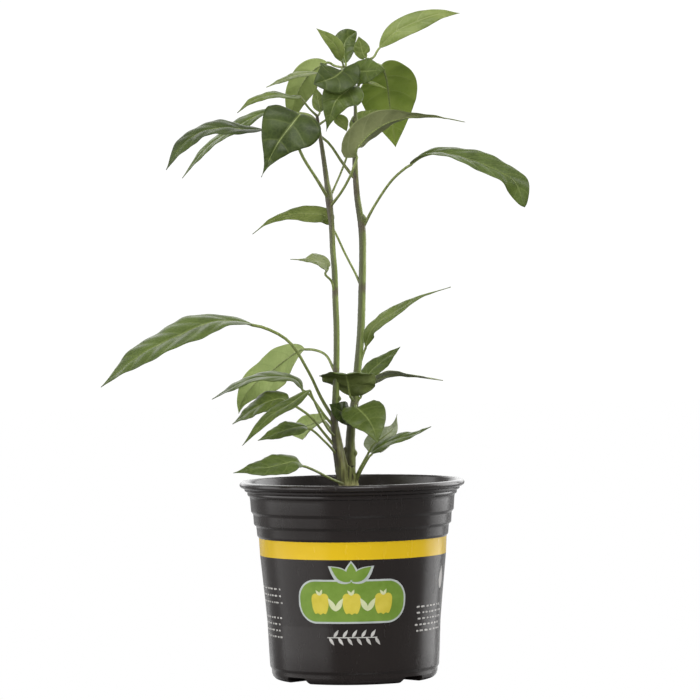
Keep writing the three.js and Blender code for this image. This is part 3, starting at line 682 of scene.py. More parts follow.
def soil_bit(radius, stretch):
    """The corners of one small piece that lies on the mix, clear of the stem."""
    turn, reach = crumb_random.uniform(0, 2 * math.pi), LITTER_REACH * math.sqrt(crumb_random.random())
    x, y = reach * math.cos(turn), reach * math.sin(turn)
    if (x - COLLAR_PLACE[0]) ** 2 + (y - COLLAR_PLACE[1]) ** 2 < STEM_ROOM**2:
        x, y = x + PUSHED_OFF[0], y + PUSHED_OFF[1]
    z = SOIL_TOP + mix_lumps(x, y) + 0.2 * radius
    shape = (
        Matrix.Translation((x * MM, y * MM, z * MM))
        @ Matrix.Rotation(crumb_random.uniform(0, 6.28), 4, "Z")
        @ Matrix.Rotation(crumb_random.uniform(-LITTER_TILT, LITTER_TILT), 4, "Y")
        @ Matrix.Diagonal((*(radius * MM * s for s in stretch), 1))
    )
    seed = crumb_random.uniform(0, 90)
    dents = [LITTER_JAGGED * noise.noise(v * 1.4 + Vector((seed, 0, 0))) for v in bit_corners]
    return [shape @ (v * (1 + dent)) for v, dent in zip(bit_corners, dents)]


pattern = added(bpy.ops.mesh.primitive_ico_sphere_add, subdivisions=2, radius=1)
bit_corners = [v.co.copy() for v in pattern.data.vertices]
bit_faces = [tuple(face.vertices) for face in pattern.data.polygons]
bpy.data.objects.remove(pattern)
corners, faces, kinds = [], [], []
for kind, (count, least, greatest, stretch, *_) in enumerate(LITTER.values()):
    for _ in range(count):
        start = len(corners)
        corners += soil_bit(crumb_random.uniform(least, greatest), stretch)
        faces += [tuple(start + i for i in face) for face in bit_faces]
        kinds += [kind] * len(bit_faces)
litter_mesh = bpy.data.meshes.new("mix_litter")
litter_mesh.from_pydata([tuple(c) for c in corners], [], faces)
litter = bpy.data.objects.new("mix_litter", litter_mesh)
bpy.context.collection.objects.link(litter)


def soil_finish(name, dull, bright, roughness):
    """A dull, crumbly material."""
    mix = Shader(name)
    spot = mix.object_place()
    cloud = mix.cloud(spot, 420.0, 5.0, 0.7)
    rough = mix.plus(cloud, mix.cloud(spot, 1700.0, 3.0))
    mix.look(
        Base_Color=mix.marbled(cloud, 0.32, 0.68, dull, bright),
        Roughness=roughness,
        Normal=mix.bump(rough, 0.0005, 0.9),
    )
    return mix.material


soil.data.materials.clear()
for kind, (*_, dull, bright, roughness) in LITTER.items():
    litter.data.materials.append(soil_finish(kind, dull, bright, roughness))
for face, kind in zip(litter_mesh.polygons, kinds):
    face.material_index = kind
for kind_material in litter.data.materials:
    soil.data.materials.append(kind_material)
soil = join_all([soil, litter], "potting_mix")
for face in soil.data.polygons:
    face.use_smooth = True
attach(soil, "root")
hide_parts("soil")


# ---------------------------------------------------------------- Print
# Screen print on the pot's wall in thin raised ink: a green panel with a pale border that holds three yellow
# peppers and some leaves, a sprout on top, a sprig in white below, and rows of white seeds at either side.

PRINT_PLACE = (-1.0, 40.5)
PANEL_HALF_WIDTH, PANEL_HALF_HEIGHT, PANEL_CORNER = 27.2, 10.6, 9.5
BORDER, INK_LIFT, INK_ROOT = 0.9, 0.03, 0.02
PEPPERS, PEPPER_SIZE, PEPPER_HEIGHT = (-15.5, 0, 15.5), 5.4, -0.9
# Leaves over and between the peppers: heights, lengths, breadths and turns.
CALYX, CALYX_TURNS = (3.0, 3.2, 1.3), (-38, 24)
FOLIAGE, FOLIAGE_TURNS, BETWEEN = (-4.6, 7.4, 2.6), (-30, 30), (-7.75, 7.75)
SPRIG_HEIGHT, SPRIG_HALF_WIDTH, SPRIG_LEAVES = 23.2, 12.5, 11
SEED_ROWS = (
    (34, 58, (36.5, 33.6, 30.7, 27.8, 24.9)),
    (-66, -40, (45.5, 42.2, 38.9)),
    (-62, -42, (31.5, 28.4, 25.3, 22.2)),
)
SEED_GAP, LOOSE_LEAF = 1.3, (55, 49.5)
INK_REACH, INK_STRIP, WALL_BENDS = 78, 2, (14, 28, 38)
INKS = {
    "border": ((170, 177, 174), (186, 192, 188)),
    "green": ((104, 134, 50), (118, 146, 62)),
    "yellow": ((196, 180, 60), (208, 192, 76)),
    "cream": ((196, 202, 158), (208, 212, 172)),
    "white": ((170, 168, 164), (196, 194, 190)),
}


def wall_radius(z):
    """The pot's outer radius at a height on its tapered wall."""
    rows = POT_OUTSIDE[6:11]
    for (r0, z0), (r1, z1) in zip(rows, rows[1:]):
        if z <= z1:
            break
    return r0 + (r1 - r0) * (z - z0) / (z1 - z0)


def rounded(half_width, half_height, corner, steps=14):
    """A rounded rectangle about the origin."""
    points = []
    for quarter, (sx, sz) in enumerate(((1, 1), (-1, 1), (-1, -1), (1, -1))):
        for i in range(steps + 1):
            turn = math.pi / 2 * (quarter + i / steps)
            points.append((
                sx * (half_width - corner) + corner * math.cos(turn),
                sz * (half_height - corner) + corner * math.sin(turn),
            ))
    return points


def leaf_mark(x, z, length, width, turn, steps=12):
    """A pointed leaf from a foot at x, z, turned from upright."""
    sides = [(width / 2 * math.sin(math.pi * (i / steps) ** 0.8), length * i / steps) for i in range(steps + 1)]
    flat = sides + [(-a, b) for a, b in reversed(sides[1:-1])]
    c, s = math.cos(math.radians(turn)), math.sin(math.radians(turn))
    return [(x + a * c + b * s, z - a * s + b * c) for a, b in flat]


def pepper_mark(x, z, size, steps=72):
    """A bell pepper seen from the side: square shoulders, a slight taper, and three lobes below."""
    points = []
    for i in range(steps):
        turn = 2 * math.pi * i / steps
        a, b = (math.copysign(abs(w) ** 0.62, w) for w in (math.sin(turn), math.cos(turn)))
        lobes = -0.07 * math.cos(2 * math.pi * 1.5 * a) if b < 0 else -0.14 * math.exp(-((a / 0.35) ** 2))
        points.append((x + size * (0.80 + 0.07 * b) * a, z + size * (0.94 * b + lobes)))
    return points


def printed(outlines, lift, ink):
    """Ink on the wall: flat outlines of arc length and height, filled, cut in strips and bent round it."""
    sheet = bmesh.new()
    for outline in outlines:
        sheet.faces.new([sheet.verts.new((a, 0, b)) for a, b in outline])
    cuts = [((a, 0, 0), (1, 0, 0)) for a in range(-INK_REACH, INK_REACH + 1, INK_STRIP)]
    for place, normal in cuts + [((0, 0, z), (0, 0, 1)) for z in WALL_BENDS]:
        parts = [*sheet.verts, *sheet.edges, *sheet.faces]
        bmesh.ops.bisect_plane(sheet, geom=parts, plane_co=place, plane_no=normal, dist=1e-5)
    bmesh.ops.triangulate(sheet, faces=sheet.faces)
    for corner in sheet.verts:
        radius = wall_radius(corner.co.z) + lift
        turn = corner.co.x / wall_radius(PRINT_PLACE[1])
        corner.co = Vector((math.sin(turn) * radius, -math.cos(turn) * radius, corner.co.z)) * MM
    bmesh.ops.recalc_face_normals(sheet, faces=sheet.faces)
    if sum(face.normal.xy.dot(face.calc_center_median().xy) for face in sheet.faces) < 0:
        bmesh.ops.reverse_faces(sheet, faces=sheet.faces)
    mesh = bpy.data.meshes.new("ink")
    sheet.to_mesh(mesh)
    sheet.free()
    piece = bpy.data.objects.new("ink", mesh)
    bpy.context.collection.objects.link(piece)
    mesh.materials.append(ink)
    coat = piece.modifiers.new("coat", "SOLIDIFY")
    coat.thickness = (lift + INK_ROOT) * MM
    coat.offset = -1
    apply_all(piece)
    return piece


def ink_finish(name, dull, bright):
    """A printed ink with a slightly uneven coat."""
    ink = Shader(f"ink_{name}")
    coat = ink.cloud(ink.object_place(), 150.0, 4.0, 0.6)
    ink.look(Base_Color=ink.marbled(coat, 0.3, 0.7, dull, bright), Roughness=0.34, Specular_IOR_Level=0.3)
    return ink.material


def shifted(outlines, place=PRINT_PLACE):
    """The outlines, moved from the origin to their place on the wall."""
    return [[(place[0] + a, place[1] + b) for a, b in outline] for outline in outlines]


sprout = [
    (-0.4, PANEL_HALF_HEIGHT - 1.5, 11.5, 5.2, -52),
    (0.4, PANEL_HALF_HEIGHT - 1.5, 11.5, 5.2, 52),
    (0, PANEL_HALF_HEIGHT - 1, 8.5, 4.6, 0),
]
panel = rounded(PANEL_HALF_WIDTH, PANEL_HALF_HEIGHT, PANEL_CORNER)
field = rounded(PANEL_HALF_WIDTH - BORDER, PANEL_HALF_HEIGHT - BORDER, PANEL_CORNER - BORDER)
peppers = [pepper_mark(x, PEPPER_HEIGHT, PEPPER_SIZE) for x in PEPPERS]
foliage = [leaf_mark(x, *CALYX, turn) for x in PEPPERS for turn in CALYX_TURNS]
foliage += [leaf_mark(x, *FOLIAGE, turn) for x in BETWEEN for turn in FOLIAGE_TURNS]
sprig = [rounded(SPRIG_HALF_WIDTH, 0.22, 0.2)]
for i in range(SPRIG_LEAVES):
    foot, turn = (0.1, 34) if i % 2 else (-0.1, 146)
    sprig.append(leaf_mark(-11.5 + 2.3 * i, foot, 4.4, 1.5, turn))
white_marks = shifted(sprig, (PRINT_PLACE[0], SPRIG_HEIGHT))
seed_random = random.Random(11)
for first, last, heights in SEED_ROWS:
    for level in heights:
        a = first + seed_random.uniform(0, 2)
        while a < last:
            length = seed_random.uniform(1.2, 2.8)
            white_marks.append([(a + p * length / 2.4, level + q) for p, q in rounded(1.2, 0.42, 0.4, 4)])
            a += length + SEED_GAP
white_marks.append([(LOOSE_LEAF[0] + 2.6 * a, LOOSE_LEAF[1] + 5.6 * b) for a, b in leaf_mark(0, -1, 2, 1.9, 0)])

ink_coats = {name: ink_finish(name, *colours) for name, colours in INKS.items()}
inks = [
    printed(shifted([panel]), INK_LIFT, ink_coats["border"]),
    printed(shifted([field]), 2 * INK_LIFT, ink_coats["green"]),
    printed(shifted(peppers), 3 * INK_LIFT, ink_coats["yellow"]),
    printed(shifted(foliage), 3.6 * INK_LIFT, ink_coats["cream"]),
    printed(white_marks, INK_LIFT, ink_coats["white"]),
]
for number, (x, z, length, breadth, turn) in enumerate(sprout):
    border = leaf_mark(x, z, length + 1.6, breadth + 1.8, turn)
    inks.append(printed(shifted([border]), (3 + number) * 0.7 * INK_LIFT, ink_coats["border"]))
    green = leaf_mark(x, z + 0.6, length, breadth, turn)
    inks.append(printed(shifted([green]), (5 + number) * 0.8 * INK_LIFT, ink_coats["green"]))
pot_print = join_all(inks, "pot_print")
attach(pot_print, "root")


# ---------------------------------------------------------------- Leaves
# Each leaf is a thin blade on a slender stalk: dark and faintly glossy above, pale and matt below, folded
# along the midrib, puckered between its side veins and waved at the margin. It grows from the stem's bark.

BLADE_ROWS, BLADE_COLUMNS = 56, 24
BLADE_THICKNESS, BLADE_EDGE, BLADE_MERGE = 0.42, 0.5, 2e-6
LEAF_CURL = math.radians(20)
EDGE_WAVE, EDGE_WAVES, WAVE_LAGS = 0.8, 2.5, (1.9, 0)
EDGE_RIPPLE, EDGE_RIPPLES, RIPPLE_LAGS = 0.3, 7.3, (4.1, 0.6)
VEIN_SPACING, VEIN_SWEEP = 11, 0.10
PUCKER, PUCKER_LEVEL, PUCKER_INNER = 0.024, 0.55, 0.12
GROOVE, GROOVE_HALF_WIDTH = 0.16, 0.7
STALK_LEAST, STALK_MOST, STALK_ROWS, STALK_FOOT = 0.9, 1.5, 16, 0.28
RIB_START, RIB_TIP, RIB_TAPER, RIB_SINK = 0.8, 0.25, 1.2, 0.55


def blade_share(u, broadest, rise):
    """The blade's width at a share of its length, as a share of its greatest width."""
    fall = rise * (1 - broadest) / broadest
    return u**rise * (1 - u) ** fall / (broadest**rise * (1 - broadest) ** fall)


def leaf_axes(centres, blade_start, lean):
    """The side and upward directions at each point along a leaf."""
    axes, last_side = [], None
    rows = len(centres) - 1 - blade_start
    for i in reversed(range(len(centres))):
        along = (centres[min(len(centres) - 1, i + 1)] - centres[max(0, i - 1)]).normalized()
        u = max(0.0, (i - blade_start) / rows)
        forward = math.radians(lean[0] + (lean[2] - lean[0]) * u)
        right = math.radians(lean[1] + (lean[3] - lean[1]) * u)
        flat = math.cos(right)
        face = Vector((math.sin(right), -math.sin(forward) * flat, math.cos(forward) * flat))
        side = face.cross(along).normalized()
        if last_side is not None and last_side.dot(side) < 0:
            side = -side
        last_side = side
        axes.append((side, along.cross(side)))
    return axes[::-1]


def leaf(name, finish, width, lean, stalk, blade, broadest=0.4, rise=0.8, fold=(12, 12)):
    """One leaf: the blade as a thickened grid, and the stalk with its midrib joined to it."""
    points = stalk + blade
    neck = (len(stalk) - 1) / (len(points) - 1)
    ribs, length = smooth_route(points, neck, 1, BLADE_ROWS)
    stems, _ = smooth_route(points, 0, neck, STALK_ROWS)
    centres = stems[:-1] + ribs
    axes = leaf_axes(centres, STALK_ROWS, lean)
    radius = min(STALK_MOST, STALK_LEAST + width / 50) / 2
    veins = max(4, round(length / VEIN_SPACING))
    pucker = PUCKER * width
    waviness = EDGE_WAVE * min(1, width / 30)

    def surface(u, share, q):
        """The blade's middle layer: u runs from neck to tip, share from side to side, q is its size."""
        row = u * BLADE_ROWS
        i = min(int(row), BLADE_ROWS - 1)
        w = row - i
        centre = ribs[i].lerp(ribs[i + 1], w)
        near, far = axes[STALK_ROWS + i], axes[STALK_ROWS + i + 1]
        side, up = (first.lerp(second, w).normalized() for first, second in zip(near, far))
        half = width / 2 * blade_share(u, broadest, rise)
        folded = math.radians(fold[0] + (fold[1] - fold[0]) * u)
        settle = min(1, 5 * u, 5 * (1 - u))
        bent = (math.sin(folded) - math.sin(folded - LEAF_CURL * q)) / LEAF_CURL
        lift = (math.cos(folded - LEAF_CURL * q) - math.cos(folded)) / LEAF_CURL
        turn = 2 * math.pi * u
        wave = math.sin(turn * EDGE_WAVES + WAVE_LAGS[share >= 0]) * q * q
        wave += EDGE_RIPPLE * math.sin(turn * EDGE_RIPPLES + RIPPLE_LAGS[share >= 0]) * q**3
        wave *= waviness * settle
        bladeness = half / (half + radius)
        phase = veins * (u - VEIN_SWEEP * (q + q * q) * min(1, blade_share(u, broadest, rise)))
        gap = abs(phase - round(phase))
        between = math.sin(math.pi * min(1, gap * 2) / 2)
        puffed = pucker * (between - PUCKER_LEVEL) * min(1, q / PUCKER_INNER) * (1 - q**4) * settle
        groove = -GROOVE * math.exp(-((q * half / GROOVE_HALF_WIDTH) ** 2)) * bladeness
        return (
            centre
            + side * (math.copysign(1, share) * bent * half if share else 0)
            + up * (lift * half + (wave + groove) * bladeness + puffed)
        ), phase

    piece = added(
        bpy.ops.mesh.primitive_grid_add, x_subdivisions=BLADE_COLUMNS, y_subdivisions=BLADE_ROWS, size=2
    )
    sheet = piece.data
    thin = piece.vertex_groups.new(name="thin")
    phases = []
    for vertex in sheet.vertices:
        share, u = round(-vertex.co.x, 6), round((vertex.co.y + 1) / 2, 6)
        q = abs(share)
        vertex.co, phase = surface(u, share, q)
        vertex.co *= MM
        phases.append(phase)
        thin.add([vertex.index], 1 - BLADE_EDGE * q**3, "REPLACE")
    write_values(piece, "vein_phase", phases)
    sheet.uv_layers[0].name = "UVMap"
    bpy.ops.object.mode_set(mode="EDIT")
    bpy.ops.mesh.select_all(action="SELECT")
    bpy.ops.mesh.remove_doubles(threshold=BLADE_MERGE)
    bpy.ops.object.mode_set(mode="OBJECT")
    for finish_material in leaf_finishes[finish]:
        sheet.materials.append(finish_material)
    wall = piece.modifiers.new("wall", "SOLIDIFY")
    wall.thickness = BLADE_THICKNESS * MM
    wall.offset = 0
    wall.vertex_group = "thin"
    wall.material_offset = 1
    wall.material_offset_rim = 0
    apply_all(piece)
    piece.vertex_groups.clear()

    radii = [radius * (1 + STALK_FOOT * (1 - min(1, i / 5))) for i in range(STALK_ROWS)]
    for i in range(BLADE_ROWS + 1):
        taper = RIB_TIP + (1 - RIB_TIP) * (1 - i / BLADE_ROWS) ** RIB_TAPER
        radii.append(radius * taper * (RIB_START if i else 1))
    route = centres[:STALK_ROWS]
    route += [centres[i] - axes[i][1] * RIB_SINK * radii[i] for i in range(STALK_ROWS, len(centres) - 1)]
    rod = shoot("rod", route, radii)
    ring = len(rod.data.vertices) // len(route)
    ages = [min(1.0, (i // ring) / STALK_ROWS) for i in range(len(rod.data.vertices))]
    write_values(rod, "stalk_age", ages)
    rod.data.materials.clear()
    rod.data.materials.append(stalk_finish)
    for layer in list(rod.data.uv_layers):
        rod.data.uv_layers.remove(layer)
    piece = join_all([piece, rod], f"{name}_leaf")
    for face in piece.data.polygons:
        face.use_smooth = True
    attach(piece, "root")
    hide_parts(f"leaf_{name}")


MIDRIB, SIDE_VEIN, SIDE_VEIN_END, SIDE_VEIN_SHARE = (0.035, 0.085), (0.015, 0.06), (0.80, 0.97), 0.62
NET_CELLS, NET_LINE = 420.0, (0.02, 0.20)
MOTTLES, SWELLS = 95.0, 260.0
leaf_veins = Shader("leaf_veins", group=True)
for label, kind in {"Leaf UV": "Vector", "Phase": "Float", "Place": "Vector"}.items():
    leaf_veins.tree.interface.new_socket(label, in_out="INPUT", socket_type=f"NodeSocket{kind}")
for label in ("Veins", "Net", "Mottle", "Height"):
    leaf_veins.tree.interface.new_socket(label, in_out="OUTPUT", socket_type="NodeSocketFloat")
given = leaf_veins.nodes.new("NodeGroupInput").outputs
across, along, _ = leaf_veins.split(given["Leaf UV"])
q = leaf_veins.math("ABSOLUTE", leaf_veins.math("SUBTRACT", leaf_veins.times(across, 2.0), 1.0))
midrib = leaf_veins.step(q, *MIDRIB, 1.0, 0.0)
gap = leaf_veins.math("PINGPONG", given["Phase"], 0.5)
side_vein = leaf_veins.step(gap, *SIDE_VEIN, 1.0, 0.0)
side_vein = leaf_veins.times(side_vein, leaf_veins.step(q, *SIDE_VEIN_END, 1.0, 0.0))
net = leaf_veins.step(leaf_veins.cells(given["Place"], NET_CELLS), *NET_LINE, 1.0, 0.0)
veins = leaf_veins.math("MAXIMUM", midrib, leaf_veins.times(side_vein, SIDE_VEIN_SHARE))
mottle = leaf_veins.cloud(given["Place"], MOTTLES)
swell = leaf_veins.cloud(given["Place"], SWELLS, 1.0)
handed = leaf_veins.nodes.new("NodeGroupOutput").inputs
for label, value in (("Veins", veins), ("Net", net), ("Mottle", mottle), ("Height", swell)):
    leaf_veins.put(handed[label], value)


def leaf_finish(name, dull, bright, vein, roughness, relief, glow, vein_strength=0.5, net_strength=0.12):
    """One face of a blade: its green, its veins and the light that comes through it."""
    skin = Shader(name)
    parts = skin.group(
        leaf_veins.tree,
        Leaf_UV=skin.nodes.new("ShaderNodeTexCoord").outputs["UV"],
        Phase=skin.attribute("vein_phase"),
        Place=skin.object_place(),
    )
    green = skin.marbled(parts["Mottle"], 0.32, 0.68, dull, bright)
    green = skin.mix(skin.times(parts["Net"], net_strength), green, linear(vein))
    green = skin.mix(skin.times(parts["Veins"], vein_strength), green, linear(vein))
    skin.look(
        Base_Color=green,
        Roughness=skin.plus(roughness - 0.06, skin.times(parts["Mottle"], 0.12)),
        Specular_IOR_Level=BLADE_SHINE,
        Normal=skin.bump(parts["Height"], 0.00012, relief),
    )
    through = skin.nodes.new("ShaderNodeBsdfTranslucent")
    skin.put(through.inputs["Color"], skin.mix(0.35, green, linear(LIGHT_THROUGH)))
    blend = skin.nodes.new("ShaderNodeMixShader")
    blend.inputs[0].default_value = glow
    skin.links.new(skin.principled.outputs[0], blend.inputs[1])
    skin.links.new(through.outputs[0], blend.inputs[2])
    skin.links.new(blend.outputs[0], skin.nodes["Material Output"].inputs[0])
    return skin.material


BLADE_SHINE, LIGHT_THROUGH = 0.26, (150, 190, 60)
# Of the upper and the under side: dull and bright green, vein colour, roughness, relief, light let through,
# and how strongly the veins and the net between them show.
GREENS = {
    "dark": (((46, 58, 22), (62, 76, 30), (116, 128, 66), 0.46, 0.35, 0.08, 0.34, 0.08),
            ((64, 74, 34), (80, 90, 44), (124, 134, 78), 0.60, 0.4, 0.10, 0.34, 0.08)),
    "deep": (((66, 80, 32), (82, 98, 42), (132, 144, 82), 0.42, 0.35, 0.10, 0.34, 0.10),
            ((106, 114, 66), (124, 132, 80), (150, 158, 108), 0.60, 0.4, 0.14)),
    # Painted shade: the deep green above, with the under side painted dark as if in shadow.
    "shade": (((66, 80, 32), (80, 94, 40), (132, 144, 82), 0.42, 0.35, 0.10, 0.34, 0.10),
             ((78, 88, 42), (92, 102, 52), (132, 142, 88), 0.55, 0.4, 0.12, 0.34, 0.10)),
    "mid": (((82, 96, 42), (102, 116, 56), (148, 158, 98), 0.44, 0.35, 0.14, 0.34, 0.10),
           ((118, 124, 82), (136, 142, 96), (160, 166, 122), 0.62, 0.4, 0.14)),
    "pale": (((94, 108, 50), (114, 126, 62), (158, 168, 100), 0.46, 0.35, 0.20, 0.40, 0.12),
            ((134, 148, 84), (152, 166, 98), (114, 128, 66), 0.60, 0.4, 0.24, 0.45, 0.14)),
    # Partly painted light: pale like an under side, and both faces painted paler still as the glow of light
    # coming through.
    "faint": (((160, 172, 116), (178, 190, 132), (134, 150, 92), 0.55, 0.35, 0.30, 0.45, 0.14),
             ((168, 182, 116), (186, 198, 132), (132, 150, 86), 0.60, 0.4, 0.46, 0.45, 0.14)),
    # Painted sheen: greyed, paler greens with pale veins stand in for the silvery gloss of the leaf.
    "painted_sheen": (((98, 110, 62), (128, 138, 90), (170, 176, 134), 0.44, 0.4, 0.14, 0.40, 0.22),
             ((132, 140, 102), (166, 172, 140), (112, 122, 82), 0.50, 0.5, 0.16, 0.40, 0.26)),
    # Painted sheen: both faces pale silver-grey, as glare on the leaf.
    "painted_silver_sheen": (((158, 166, 132), (196, 200, 176), (112, 124, 80), 0.48, 0.4, 0.30, 0.50, 0.30),
              ((158, 166, 132), (196, 200, 176), (112, 124, 80), 0.52, 0.5, 0.36, 0.50, 0.30)),
    # Partly painted light: a light young green, its under side painted brighter yellow-green as the glow of
    # light coming through.
    "fresh": (((116, 130, 66), (138, 150, 84), (176, 184, 124), 0.44, 0.35, 0.26, 0.40, 0.10),
             ((142, 160, 74), (166, 182, 92), (182, 194, 120), 0.58, 0.4, 0.50, 0.45, 0.10)),
    "young": (((88, 102, 46), (110, 124, 60), (164, 174, 104), 0.42, 0.35, 0.18, 0.50, 0.12),
             ((110, 122, 68), (130, 142, 82), (158, 168, 110), 0.54, 0.4, 0.20)),
}
leaf_finishes = {
    name: (leaf_finish(f"leaf_{name}_upper", *upper), leaf_finish(f"leaf_{name}_under", *under))
    for name, (upper, under) in GREENS.items()
}

STALK_GREEN, STALK_BRIGHT, STALK_PURPLE = (108, 122, 62), (140, 152, 88), (82, 68, 62)
stalk_skin = Shader("leaf_stalk_skin")
spot = stalk_skin.object_place()
lines = stalk_skin.cloud(stalk_skin.stretch(spot, (1, 1, 0.12)), 1400.0, 3.0)
green = stalk_skin.marbled(lines, 0.35, 0.65, STALK_GREEN, STALK_BRIGHT)
tint = stalk_skin.step(stalk_skin.attribute("stalk_age"), 0.0, 0.5, 0.65, 0.06)
tint = stalk_skin.times(tint, stalk_skin.step(lines, 0.3, 0.6, 0.5, 1.0))
stalk_skin.look(
    Base_Color=stalk_skin.mix(tint, green, linear(STALK_PURPLE)),
    Roughness=0.5,
    Normal=stalk_skin.bump(lines, 0.00008, 0.6),
)
stalk_finish = stalk_skin.material

# Each call gives a leaf's name, green, width and lean, the points of its stalk, which start inside the stem,
# and the points of its blade up to the tip. Lean is how far the upper face turns to the front and to the
# right, at the base and at the tip, and fold is how steeply both halves rise there.
leaf("low_left_large", "deep", 31, (13, 0, 26, 0),
     [(-8.2, -1.5, 126), (-14.5, -3, 137), (-20.5, -16, 150.5), (-30, -25, 165.5), (-46.5, -31, 173.5)],
     [(-64.5, -34.5, 175), (-81, -37.5, 169), (-100.5, -39, 159.5), (-119.5, -37.5, 144.5)])
leaf("low_left_back", "faint", 20, (-125, -10, -120, -20),
     [(-7.5, -2, 149.5), (-12.5, 6, 158), (-22.5, 15.5, 160)],
     [(-32, 25, 154.5), (-41, 32, 147.5), (-48.5, 36, 142), (-54, 40, 134.5), (-56, 42, 128)])
leaf("low_left_upper", "deep", 17, (16, 0, 10, 0),
     [(-8.2, -2, 122.5), (-13, -5, 128.5), (-19.5, -8, 138), (-23, -9, 141)],
     [(-27, -9, 146), (-36, -8.5, 147.5), (-49.5, -8, 146), (-67.5, -7, 137)], broadest=0.45)
leaf("low_left_front", "shade", 9, (22, 0, 25, 0),
     [(-7.8, -2, 117.5), (-12.5, -13, 124), (-19, -26, 139.5), (-19.5, -27.5, 141.5)],
     [(-28.5, -36, 135.5), (-39.5, -43, 129), (-52, -47, 116)])
leaf("low_left_middle", "shade", 17, (36, 0, 22, 0),
     [(-7.6, -2, 112.5), (-13.5, -5, 120), (-20, -15, 128.5), (-29.5, -18, 135)],
     [(-35, -17.5, 137), (-45, -16, 133.5), (-57.5, -13, 125)])
leaf("low_left_small", "deep", 13, (34, 0, 26, 0),
     [(-7.2, -2, 109), (-12.5, -11.5, 115.5), (-21, -18, 123)],
     [(-30.5, -24.5, 122.5), (-45, -27.5, 117.5)])
leaf("low_left_pale", "faint", 16.5, (-125, -15, -115, -20),
     [(-9, -2, 120), (-12, 6, 124), (-14, 12.5, 124.5)],
     [(-22, 23, 122), (-31, 30, 118)])
leaf("collar_left", "deep", 17, (32, 0, 34, 0),
     [(-4, -3, 94.5), (-11, -17.5, 98.5), (-17.5, -27, 102.5), (-23.5, -33.5, 105.5)],
     [(-28, -36.5, 107.5), (-37.5, -41, 105.5), (-46.5, -44, 104.5), (-56.5, -46, 103)], broadest=0.36)
leaf("low_right_pointed", "shade", 12, (55, -30, 35, -15),
     [(3, 4, 135.5), (4.5, 12, 142.5), (4, 17, 141.5)],
     [(9, 20, 147.5), (14.5, 24, 152.5), (25, 30, 160.5)])
leaf("shoot_upright", "shade", 29, (20, 0, 0, 0),
     [(1.5, 4, 134.5), (0, -2, 137.5)],
     [(-1, -5.5, 143.5), (-2, -10.5, 148), (-1.5, -20, 148.5)])
leaf("shoot_right", "painted_sheen", 15, (-28, -30, 10, 0),
     [(2.4, 4, 133), (4.5, 3.5, 136.5)],
     [(7.5, 5, 141.5), (13.5, 6, 145.5), (24, 9, 147), (45.5, 13, 144)])
leaf("shoot_front", "shade", 21, (54, 4, 72, 0),
     [(2.4, 4, 132.5), (2.5, -6, 132)],
     [(4, -12, 131), (8, -19, 127), (11, -26, 121.5),
      (12.5, -30, 115.5)], broadest=0.34, rise=0.6, fold=(20, 14))
leaf("shoot_front_left", "dark", 12, (62, -10, 70, -10),
     [(1.8, 4, 130), (1.5, 0, 127.5)],
     [(-2.5, -5, 129), (-7, -8.5, 131.5), (-10.5, -10, 134)])
leaf("collar_upright", "painted_silver_sheen", 12.5, (-120, 5, -122, 5),
     [(1.5, 4, 97), (4.5, -1, 103), (8.5, -4, 110)],
     [(10.5, -4, 113.5), (16, -5, 117.5), (20.5, -6, 121.5), (22.5, -6, 128.5)], broadest=0.3)
leaf("collar_right", "deep", 11, (32, 0, 22, 0),
     [(2, 4, 95), (5, -6, 102), (9.5, -13, 109.5)],
     [(14, -15, 113), (18.5, -17, 115.5), (24, -20, 117.5), (30, -23, 119), (38.5, -27, 123)])
leaf("mid_right", "mid", 10, (52, 0, 30, 0),
     [(5, 4, 153.5), (7.5, 2.5, 160.5), (7.5, 1, 160.5)],
     [(10, -3, 168.5), (14.5, -8, 173.5), (22.5, -13, 178.5), (33.5, -20, 185),
      (49, -26, 190)], broadest=0.33, rise=1.1)
leaf("high_right_large", "deep", 20, (8, -10, 16, -18),
     [(7, 4, 219), (13, 1, 230), (21.5, -7, 242), (30.5, -14, 249.5)],
     [(37, -17, 253.5), (45.5, -21, 254.5), (57.5, -26, 251.5), (69.5, -31, 246.5), (80, -36, 239.5),
      (84.5, -39, 227.5)], broadest=0.45, rise=0.55, fold=(20, 16))
leaf("mid_left", "pale", 12, (52, 0, 18, 0),
     [(6.5, 4, 189), (3.5, 5.5, 196.5), (-1.5, 7, 206.5), (-6, 7, 216.5), (-8.5, 7, 221)],
     [(-11.5, 7, 225.5), (-20, 7, 226.5), (-29.5, 7, 226), (-38.5, 7, 223),
      (-47, 7.5, 217)], broadest=0.28, rise=0.65)
leaf("mid_left_small", "painted_sheen", 13, (52, 8, 18, 0),
     [(-7, -2, 187.5), (-8.5, -5, 193.5), (-11.5, -8, 197), (-10, -7.5, 200)],
     [(-12, -9, 202), (-16, -13, 203.5), (-22, -17, 204), (-28.5, -21, 204.5)], broadest=0.22)
leaf("high_front", "mid", 19.5, (-75, -45, 14, 0),
     [(-8.5, -2, 230), (-3.5, -11.5, 236), (0.5, -18, 242.5), (3.5, -23, 249), (4.5, -22, 253)],
     [(4, -24, 256), (7, -25, 260), (11.5, -26, 264.5), (20, -27.5, 269.5), (31, -28, 271.8),
      (44, -28, 271.5), (57, -28, 269)], broadest=0.2, rise=0.55, fold=(44, 12))
leaf("high_left_hanging", "dark", 29.5, (78, -5, 88, -5),
     [(-9.5, -2, 234), (-14.5, -10, 242.5), (-21.5, -18, 254), (-24.5, -25, 263), (-24, -30.5, 269.5),
      (-22, -34.5, 273.5)],
     [(-25, -41, 270), (-33.5, -47, 258.5), (-41, -52, 243.2)], broadest=0.25, rise=0.7, fold=(16, 12))
